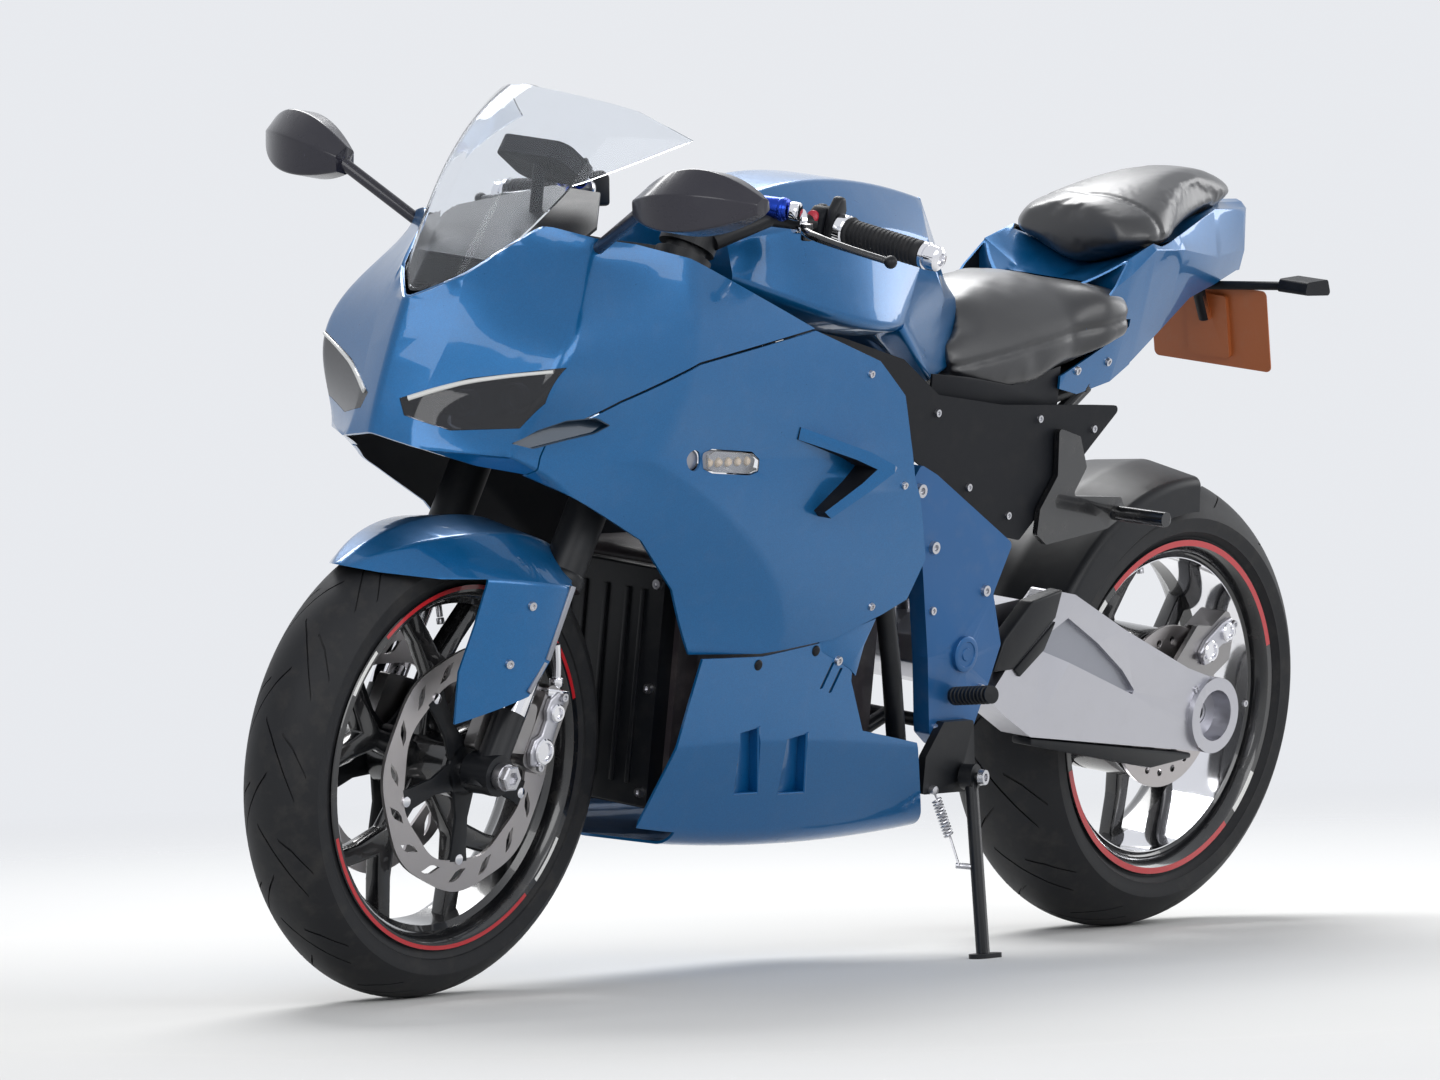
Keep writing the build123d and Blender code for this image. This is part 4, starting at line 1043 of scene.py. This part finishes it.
class BIKE_OT_battery(BikeOperator, Operator):
    """Battery case with its ribbed front cover and bolts"""

    bl_idname = "bike.battery"
    bl_label = "Battery"

    def execute(self, context):
        dressed("battery_box", "battery_case", 2.5)
        dressed("front_cover", "satin_black", 2)
        ribs, bolts = bmesh.new(), bmesh.new()
        for y in (-62, -36, 0, 36, 62):
            matrix = Matrix.Translation((1123.5, y, 390)) @ Matrix.Diagonal((5, 7, 250, 1))
            bmesh.ops.create_cube(ribs, size=1, matrix=matrix)
        bmesh.ops.bevel(ribs, geom=ribs.edges[:], offset=1.2, segments=2, profile=0.5, affect="EDGES",
                        material=-1)
        for y in (-84, 84):
            for z in (524, 390, 256):
                bolt(bolts, (1122, y, z), (1, 0, 0), 7)
        finished("battery_cover_ribs", ribs, "satin_black", "frame")
        finished("battery_bolts", bolts, "steel", "frame")
        return {"FINISHED"}


# Columns: tyre, centre, outer radius, half width, shoulder radius, bead half width, body
TYRES = [
    ("front_tyre", FRONT_AXLE, 300, 60, 262, 51, "front_wheel"),
    ("rear_tyre", REAR_AXLE, 315, 90, 262, 76, "rear_wheel"),
]


class BIKE_OT_tyres(BikeOperator, Operator):
    """Road tyres with curved grooves cut in the tread and a stepped sidewall"""

    bl_idname = "bike.tyres"
    bl_label = "Tyres"

    def execute(self, context):
        depth = context.scene.bike_sizes.groove
        for part, centre, radius, half, shoulder, bead, body in TYRES:
            rise = radius - shoulder
            crown = (half**2 + rise**2) / 2 / rise
            reach = math.asin(half / crown)
            tread = [
                (crown * math.sin(a), radius - crown + crown * math.cos(a))
                for a in (reach * (step / 14) for step in range(-14, 15))
            ]
            wall = [(half - 0.6, 254), (half - 2.4, 247), (half - 2.4, 243), (half - 4.5, 242),
                    (bead + 1.5, 235), (bead + 0.4, 231), (bead, 222)]
            profile = [(-y, r) for y, r in reversed(wall)] + tread + wall + [(-bead, 222)]
            tyre, cutter = bmesh.new(), bmesh.new()
            lathe(tyre, profile, centre, LEFT, 120)
            self.grooves(cutter, centre, radius, half, crown, depth)
            made = finished(part + "_with_tread", carved(tyre, cutter), "rubber", body, crease=28)
            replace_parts(made, part)
        return {"FINISHED"}

    def grooves(self, cutter, centre, radius, half, crown, depth):
        """Curved slashes round the tread, their ends rising out of the rubber."""
        # Columns: share of the half width and turn in degrees at each point of a groove, then its width
        shapes = [
            ([(-0.12, 0), (0.12, 4), (0.4, 10), (0.7, 19)], 4.6), ([(0.36, 3), (0.6, 6), (0.86, 13)], 3.8),
        ]
        count = 14
        for number in range(count):
            for side in (1, -1):
                start = math.tau * (number + (0.5 if side < 0 else 0)) / count
                for line, width in shapes:
                    rows = []
                    for index, (share, turn) in enumerate(line):
                        angle = start + math.radians(turn)
                        sink = depth if 0 < index < len(line) - 1 else depth * 0.4
                        place = math.asin(share * half / crown) * side
                        spin = Matrix.Rotation(angle, 4, "Y")
                        ring = []
                        for lift in (-sink, 3.0):
                            for aside in (-0.5, 0.5):
                                r = crown + lift
                                flat = Vector((aside * width, r * math.sin(place),
                                               radius - crown + r * math.cos(place)))
                                ring.append(cutter.verts.new(centre + spin @ flat))
                        rows.append([ring[0], ring[1], ring[3], ring[2]])
                    for near, far in zip(rows, rows[1:]):
                        for a in range(4):
                            b = (a + 1) % 4
                            cutter.faces.new((near[a], near[b], far[b], far[a]))
                    cutter.faces.new(rows[0])
                    cutter.faces.new(rows[-1][::-1])


class BIKE_OT_wheels(BikeOperator, Operator):
    """Gloss black wheels with forked spokes, red rim stripes and valves"""

    bl_idname = "bike.wheels"
    bl_label = "Wheels"

    def execute(self, context):
        # Columns: rim, centre, bead half width, spoke plane, spoke depth, hub radius, hub ends, bore,
        # stripe's inner radius, body
        table = [
            ("front_rim", FRONT_AXLE, 51.3, 12, 24, 38, (66, -66), 12.6, 225.6, "front_wheel"),
            ("rear_rim", REAR_AXLE, 76.3, -36, 24, 104, (-36, -60), 60, 222.6, "rear_wheel"),
        ]
        for part, centre, bead, spoke_y, depth, hub, ends, bore, low, body in table:
            rim, stripe, silver, valve = (bmesh.new() for _ in range(4))
            profile = [
                (-bead - 5, 231), (-bead - 3.6, 232), (-bead, 231), (-bead, 220), (bead, 220), (bead, 231),
                (bead + 3.6, 232), (bead + 5, 231), (bead + 5, 222.5), (bead + 2, 219), (bead - 8, 213),
                (bead - 16, 211), (bead - 22, 204), (26 - bead, 204), (16 - bead, 211), (8 - bead, 213),
                (-bead - 2, 219), (-bead - 5, 222.5), (-bead - 5, 231),
            ]
            lathe(rim, profile, centre, LEFT, 120)
            lathe(rim, [(ends[0], bore), (ends[0], hub - 3), (ends[0] - 3, hub), (ends[1] + 3, hub),
                        (ends[1], hub - 3), (ends[1], bore), (ends[0], bore)], centre, LEFT, 72)
            outer = 209
            arm = [(hub - 6, 17), (108, 13), (150, 40), (outer - 10, 84), (outer + 1, 62), (166, 22),
                   (140, 0)]
            outline = arm + [(x, -y) for x, y in reversed(arm[:-1])]
            for number in range(5):
                turn = spun(18 + 72 * number)
                slab(rim, outline, depth, Matrix.Translation(centre) @ side_frame(spoke_y) @ turn, 4, 3)
            made = finished(part + "_with_spokes", rim, "gloss_black", body, crease=30, merge=0)
            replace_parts(made, part)
            if part == "rear_rim":
                lining = bmesh.new()
                lathe(lining, [(-24, 203.2), (60, 203.2), (60, 204.4), (-24, 204.4), (-24, 203.2)], centre,
                      LEFT, 120)
                finished("rear_rim_lining", lining, "chrome", body)
            for side in (1, -1):
                for start in (20, 200):
                    self.band(stripe, centre, (bead + 5.25) * side, start, 112, low)
                    self.band(silver, centre, (bead + 5.25) * side, start + 118, 16, low)
            for name, bm, colour in (("_stripes", stripe, "stripe_red"),
                                     ("_silver_marks", silver, "white_trim")):
                bmesh.ops.solidify(bm, geom=bm.faces[:], thickness=0.3)
                finished(part + name, bm, colour, body)
            drum(valve, centre + Vector((0, 0, 206)), (0, 0.3, -1), 4, 24, 1, 16)
            drum(valve, centre + Vector((0, 7, 182)), (0, 0.3, -1), 5, 8, 1, 16)
            finished(part + "_valve", valve, "steel", body)
        return {"FINISHED"}

    def band(self, bm, centre, face, start, sweep, low):
        """A stripe on the rim's face from an inner radius out to the lip, over a sweep of degrees."""
        at = axis_frame(centre, LEFT, math.radians(start))
        verts = [bm.verts.new(at @ Vector((radius, 0, face))) for radius in (low, 230.8)]
        edge = bm.edges.new(verts)
        bmesh.ops.spin(bm, geom=verts + [edge], cent=centre, axis=LEFT, angle=math.radians(sweep),
                       steps=sweep // 2)


class BIKE_OT_brakes(BikeOperator, Operator):
    """Discs with leaf-shaped slots on black carriers, and calipers with their bolts"""

    bl_idname = "bike.brakes"
    bl_label = "Brakes"

    def execute(self, context):
        ring, slots, carrier, buttons = (bmesh.new() for _ in range(4))
        for face in (70.8, -66.5):
            at = Matrix.Translation(FRONT_AXLE) @ side_frame(face)
            slab(ring, waved(152.6, 2.2), 4.3, at)
        slab(slots, waved(116, -2.2), 180, Matrix.Translation(FRONT_AXLE) @ side_frame(90))
        leaf = [(-17, -3), (-9, 3), (0, 5.4), (9, 4), (17, 3), (9, -3), (0, -5.4), (-9, -4)]
        for number in range(16):
            turn = Matrix.Rotation(math.tau * number / 16, 4, "Z")
            at = side_frame(90) @ turn @ Matrix.Translation((134, 0, 0)) @ spun(52)
            slab(slots, leaf, 180, Matrix.Translation(FRONT_AXLE) @ at)
        made = finished("front_disc_rings", carved(ring, slots), "disc_steel", "front_wheel", crease=30)
        for face in (71.2, -66.0):
            at = Matrix.Translation(FRONT_AXLE) @ side_frame(face)
            for number in range(5):
                turn = spun(72 * number + 54)
                arm = [(26, 19), (62, 11), (104, 14), (117, 17), (117, -17), (104, -14), (62, -11),
                       (26, -19)]
                slab(carrier, arm, 5.2, at @ turn, 1.4)
            lathe(carrier, [(-5.2, 12.8), (-5.2, 33), (-4, 34), (-1, 34), (0, 33), (0, 12.8), (-5.2, 12.8)],
                  FRONT_AXLE + Vector((0, face, 0)), LEFT, 48)
            out = 1 if face > 0 else -1
            for number in range(5):
                angle = math.radians(72 * number + 54)
                place = FRONT_AXLE + Vector((114 * math.cos(angle), face - (0 if face > 0 else 5.2),
                                             114 * math.sin(angle)))
                drum(buttons, place - Vector((0, out * 1, 0)), (0, out, 0), 7, 2.6, 0.8, 20)
        finished("front_disc_carriers", carrier, "satin_black", "front_wheel")
        finished("front_disc_buttons", buttons, "chrome", "front_wheel")
        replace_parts(made, "front_discs")
        dressed("rear_disc", "disc_steel", 0.3)
        dressed("front_calipers rear_caliper", "caliper_alloy", 3, segments=3)
        bridges, bosses, bolts = (bmesh.new() for _ in range(3))
        # Columns: a caliper's middle, tilt and outer face, its raised casting, its pistons and bolts along it
        for middle, tilt, face, casting, pistons, ends in (
            (FRONT_AXLE + Vector((-118, 0, 48)), 112, 96,
             [(-52, -12), (-38, -21), (-20, -21), (-10, -11), (10, -11), (20, -18), (36, -18), (50, -8),
              (50, 10), (-46, 14)],
             ((-28, 17), (24, 12)), (-48, 46)),
            (REAR_AXLE + Vector((-62, 0, 92)), -35, 99.7,
             [(-40, -14), (-24, -19), (-6, -10), (8, -10), (24, -18), (40, -12), (40, 10), (20, 17),
              (-20, 17), (-40, 12)],
             ((-22, 13), (22, 15)), (-37, 38)),
        ):
            at = Matrix.Translation(middle) @ side_frame(face + 7) @ spun(tilt)
            slab(bridges, casting, 8, at, 2.5, 3)
            for along, radius in pistons:
                lathe(bosses, [(6, 0.01), (6, radius), (-3, radius), (-5, radius - 2), (-5, radius - 5),
                               (-2, radius - 6), (-2, 0.01)], at @ Vector((along, 0, 0)), (0, -1, 0), 36)
            for along in ends:
                bolt(bolts, at @ Vector((along, 2, -0.4)), LEFT, 6)
            if face == 96:
                for each in (bridges, bosses, bolts):
                    doubled(each)
                tube(bosses, [(1312, 90, 400), (1316, 92, 430), (1322, 92, 456)], 5.5, 40, 16)
                drum(bosses, (1312, 90, 402), (0.2, 0, 1), 9, 12, 2, 24)
                slab(bosses, [(1296, 396), (1338, 402), (1338, 392), (1298, 384)], 22, side_frame(100), 2)
                finished("front_caliper_castings", bridges, "satin_alloy", "steering")
                finished("front_caliper_bosses", bosses, "chrome", "steering", turn_out=False)
                finished("front_caliper_bolts", bolts, "steel", "steering")
                bridges, bosses, bolts = (bmesh.new() for _ in range(3))
        finished("rear_caliper_castings", bridges, "satin_alloy", "frame")
        finished("rear_caliper_bosses", bosses, "chrome", "frame", turn_out=False)
        finished("rear_caliper_bolts", bolts, "steel", "frame")
        return {"FINISHED"}


class BIKE_OT_fork(BikeOperator, Operator):
    """Fork legs: black upper tubes, bright sliders, dark feet, the axle's nuts and the mudguard's strips"""

    bl_idname = "bike.fork"
    bl_label = "Fork"

    def execute(self, context):
        dressed("fork_legs", "satin_black", 1.2)
        dressed("front_axle", "steel", 1)
        sliders, rings, nuts, strips, screws = (bmesh.new() for _ in range(5))
        lathe(sliders, [(0, 21), (0, 21.5), (186, 21.5), (186, 21), (0, 21)], FORK @ Vector((0, 105, 82)),
              FORK_UP, 48)
        lathe(rings, [(0, 21.6), (0, 29), (6, 30), (14, 30), (18, 27.6), (18, 21.6), (0, 21.6)],
              FORK @ Vector((0, 105, 256)), FORK_UP, 48)
        lathe(nuts, [(0, 0.01), (0, 17), (8, 17), (10, 15), (10, 9), (4, 8.5), (4, 0.01)],
              FRONT_AXLE + Vector((0, 139.5, 0)), LEFT, 6)
        for outline in ([(1361, 538), (1398, 446), (1405, 448), (1370, 540)],
                        [(1400, 443), (1427, 405), (1432, 409), (1406, 445)]):
            middle = sum((Vector(p) for p in outline), Vector((0, 0))) / 4
            place, _ = beside("front_mudguard", middle.x, middle.y)
            slab(strips, outline, 4, side_frame(place.y + 2), 0.8)
        for side in (1, -1):
            side_bolts(screws, "front_mudguard", [(1434, 516), (1460, 443)], 6, side)
        finished("fork_sliders", sliders, "chrome", "steering", both=True)
        finished("fork_seals", rings, "satin_black", "steering", both=True)
        finished("axle_nut", nuts, "steel", "steering", crease=20)
        finished("mudguard_strips", strips, "grey_alloy", "steering", both=True)
        finished("mudguard_screws", screws, "steel", "steering")
        return {"FINISHED"}


class BIKE_OT_swingarm(BikeOperator, Operator):
    """Silver swingarm with a darker grey recess floor as painted shade, dark heel guard, a black band along
    its lower edge as painted shadow, hub motor and axle
    """

    bl_idname = "bike.swingarm"
    bl_label = "Swingarm"

    def execute(self, context):
        arm = copied("swingarm")
        # The recess floor takes the darker grey alloy, a painted shade for the recess
        for face in arm.faces:
            middle = face.calc_center_median()
            if 160 < middle.x < 400 and 141.5 < middle.y < 142.5 and face.normal.y > 0.9:
                face.material_index = 1
        made = finished("silver_swingarm", arm, ["satin_alloy", "grey_alloy"], "frame", crease=30, merge=0)
        round_edges(made, 4, 3, 30)
        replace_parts(made, "swingarm")
        guard, band, bolts = bmesh.new(), bmesh.new(), bmesh.new()
        slab(guard, [(360, 500), (424, 486), (476, 438), (494, 394), (452, 396), (370, 462)], 24,
             side_frame(152), 3, 3)
        slab(guard, [(372, 458), (452, 396), (440, 386), (392, 420)], 6, side_frame(154), 1.5)
        # A black band along the arm's lower edge, a painted shadow for the arm's shaded underside
        slab(band, [(392, 300), (30, 263), (30, 256), (120, 246), (392, 290)], 34, side_frame(146), 3)
        for x, z in ((-64, 329), (40, 352), (28, 286)):
            bolt(bolts, (x, 149.6 if x > 0 else 157.6, z), LEFT, 5)
        finished("heel_guard", guard, "satin_black", "frame")
        finished("arm_underside_painted_shadow", band, "satin_black", "frame")
        finished("arm_bolts", bolts, "steel", "frame")
        dressed("hub_motor", "gloss_black", 2)
        dressed("rear_axle rear_shock", "steel", 1)
        dressed("hugger", "satin_black", 0.8, flatten=0)
        return {"FINISHED"}


class BIKE_OT_pegs(BikeOperator, Operator):
    """Rider's and pillion's foot pegs"""

    bl_idname = "bike.pegs"
    bl_label = "Foot pegs"

    def execute(self, context):
        pads = bmesh.new()
        dressed("pillion_peg_left pillion_peg_right", "gloss_black", 1.6)
        base, tip = Vector((580, 152.6, 366.5)), Vector((600, 235, 382))
        along = (tip - base).normalized()
        ribs = [point for step in range(9) for point in
                ((2 + step * 8, 12.4), (6 + step * 8, 12.4), (7 + step * 8, 10.6), (9 + step * 8, 10.6))]
        lathe(pads, [(0, 0.01), (0, 12), *ribs, (78, 12), (79, 0.01)], base + along * 4, along, 24)
        made = finished("rider_pegs", pads, "satin_black", "frame", both=True)
        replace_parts(made, "rider_peg_left", "rider_peg_right")
        return {"FINISHED"}


class BIKE_OT_stand(BikeOperator, Operator):
    """Side stand with its return spring"""

    bl_idname = "bike.stand"
    bl_label = "Side stand"

    def execute(self, context):
        dressed("stand_bracket", "satin_black", 1.5)
        dressed("side_stand", "satin_black", 1.2)
        spring, lugs = bmesh.new(), bmesh.new()
        top, low = Vector((622, 168, 244)), Vector((602, 206, 150))
        along = (low - top).normalized()
        frame_at = axis_frame(top, along)
        length = (low - top).length
        turns, per = 12, 12
        coil = [frame_at @ Vector((6 * math.cos(math.tau * i / per), 6 * math.sin(math.tau * i / per),
                                   length * (0.1 + 0.5 * i / (turns * per)))) for i in range(turns * per + 1)]
        tube(spring, [top] + coil + [low], 1.5, 1, 6)
        drum(lugs, (602, 200, 150), (-0.8, 1, 0), 4, 22, 1, 16)
        drum(lugs, (622, 150, 246), LEFT, 6, 22, 1.5, 20)
        bolt(lugs, Vector((556.4, 193, 263.8)), (-0.2, 1, 0.1), 11)
        finished("stand_spring", spring, "steel", "side_stand", merge=0)
        finished("spring_lugs", lugs, "steel", "side_stand")
        return {"FINISHED"}


class BIKE_OT_stage(BikeOperator, Operator):
    """Pale floor, studio light and the camera"""

    bl_idname = "bike.stage"
    bl_label = "Floor, light and camera"

    def execute(self, context):
        settings = context.scene.bike_view
        context.scene.view_settings.view_transform = "Standard"
        floor = bmesh.new()
        bmesh.ops.create_grid(floor, x_segments=1, y_segments=1, size=60)
        mesh = bpy.data.meshes.new("floor")
        floor.to_mesh(mesh)
        floor.free()
        made = bpy.data.objects.new("floor", mesh)
        context.scene.collection.objects.link(made)
        pale = bpy.data.materials.new("pale_floor")
        pale.use_nodes = True
        tree = pale.node_tree
        shader = tree.nodes["Principled BSDF"]
        shader.inputs["Base Color"].default_value = (0.8, 0.8, 0.79, 1)
        shader.inputs["Roughness"].default_value = 0.9
        shader.inputs["Specular IOR Level"].default_value = 0.1
        spread = node(tree, "VectorMath", operation="LENGTH")
        tree.links.new(node(tree, "TexCoord").outputs["Object"], spread.inputs[0])
        fade = math_node(tree, "DIVIDE", math_node(tree, "SUBTRACT", spread.outputs["Value"], 1.6), 3.4,
                         True)
        tree.links.new(math_node(tree, "SUBTRACT", 1.0, math_node(tree, "POWER", fade, 0.6)),
                       shader.inputs["Alpha"])
        mesh.materials.append(pale)
        self.world(context)
        target = Vector((0.0, 0.0, 0.5))
        for name, place, size, power in (
            ("key_light", (-1.6, -2.4, 4.2), (3.2, 2.2), 210),
            ("front_light", (4.6, 2.4, 2.6), (2.6, 2.6), 70),
            ("side_light", (0.4, 5.2, 2.4), (4.6, 2.0), 90),
            ("rear_light", (-4.4, 1.4, 2.0), (2.0, 2.0), 50),
        ):
            lamp = bpy.data.lights.new(name, "AREA")
            lamp.shape = "RECTANGLE"
            lamp.size, lamp.size_y = size
            lamp.energy = power
            holder = bpy.data.objects.new(name, lamp)
            holder.location = place
            holder.rotation_mode = "QUATERNION"
            holder.rotation_quaternion = (target - Vector(place)).to_track_quat("-Z", "Y")
            context.scene.collection.objects.link(holder)
        self.camera(context, settings)
        return {"FINISHED"}

    def world(self, context):
        """A soft grey surround that the camera sees as a pale backdrop."""
        world = bpy.data.worlds.new("surround")
        context.scene.world = world
        world.use_nodes = True
        tree = world.node_tree
        background = tree.nodes["Background"]
        rays = tree.nodes.new("ShaderNodeLightPath")
        seen = math_node(tree, "MAXIMUM", rays.outputs["Is Camera Ray"], rays.outputs["Is Transmission Ray"])
        seen = math_node(tree, "MAXIMUM", seen, rays.outputs["Is Glossy Ray"])
        background.inputs["Color"].default_value = (0.94, 0.96, 1.0, 1)
        tree.links.new(math_node(tree, "ADD", 0.36, math_node(tree, "MULTIPLY", seen, 0.5)),
                       background.inputs["Strength"])

    def camera(self, context, settings):
        """The camera where the photograph was taken from, placed about the bike's own ground point."""
        away = Vector((math.sin(settings.azimuth), math.cos(settings.azimuth), 0))
        ground = Vector(BIKE.translation)
        place = ground + Vector((0.715, 0, settings.height)) + away * settings.distance
        ahead, right, up = -away, (-away).cross(Vector((0, 0, 1))), Vector((0, 0, 1))
        pan, tilt, roll = -0.0046, 0.0178, -0.0265
        ahead, right = self.swung(ahead, right, pan)
        ahead, up = self.swung(ahead, up, -tilt)
        right, up = self.swung(right, up, roll)
        lens = bpy.data.cameras.new("photograph_view")
        lens.sensor_width = 36
        lens.lens = settings.lens
        lens.clip_end = 100
        camera = bpy.data.objects.new("photograph_view", lens)
        camera.matrix_world = Matrix.Translation(place) @ Matrix((right, up, -ahead)).transposed().to_4x4()
        context.scene.collection.objects.link(camera)
        context.scene.camera = camera

    def swung(self, first, second, angle):
        """Two directions turned in their own plane, the first toward the second."""
        cosine, sine = math.cos(angle), math.sin(angle)
        return first * cosine + second * sine, second * cosine - first * sine


PIECES = (
    BIKE_OT_panels, BIKE_OT_belly, BIKE_OT_fairing_details, BIKE_OT_headlights, BIKE_OT_screen,
    BIKE_OT_cockpit, BIKE_OT_controls, BIKE_OT_mirrors, BIKE_OT_seats, BIKE_OT_tail, BIKE_OT_frame,
    BIKE_OT_battery, BIKE_OT_tyres, BIKE_OT_wheels, BIKE_OT_brakes, BIKE_OT_fork, BIKE_OT_swingarm,
    BIKE_OT_pegs, BIKE_OT_stand, BIKE_OT_stage,
)


class BIKE_PT_sidebar(Panel):
    """Buttons and settings for the motorcycle's pieces"""

    bl_label = "Motorcycle"
    bl_idname = "BIKE_PT_sidebar"
    bl_space_type = "VIEW_3D"
    bl_region_type = "UI"
    bl_category = "Motorcycle"

    def draw(self, context):
        layout = self.layout
        for group in (context.scene.bike_colours, context.scene.bike_sizes, context.scene.bike_view):
            for name in group.bl_rna.properties.keys():
                if name not in ("rna_type", "name"):
                    layout.prop(group, name)
        for piece in PIECES:
            layout.operator(piece.bl_idname)


CLASSES = (BikeColours, BikeSizes, BikeView, *PIECES, BIKE_PT_sidebar)


def register():
    for each in CLASSES:
        bpy.utils.register_class(each)
    bpy.types.Scene.bike_colours = PointerProperty(type=BikeColours)
    bpy.types.Scene.bike_sizes = PointerProperty(type=BikeSizes)
    bpy.types.Scene.bike_view = PointerProperty(type=BikeView)


def unregister():
    del bpy.types.Scene.bike_view, bpy.types.Scene.bike_sizes, bpy.types.Scene.bike_colours
    for each in reversed(CLASSES):
        bpy.utils.unregister_class(each)


def main():
    register()
    build_surface_group()
    build_flake_group()
    build_finishes()
    for piece in PIECES:
        group, name = piece.bl_idname.split(".")
        getattr(getattr(bpy.ops, group), name)()


if __name__ == "__main__":
    main()
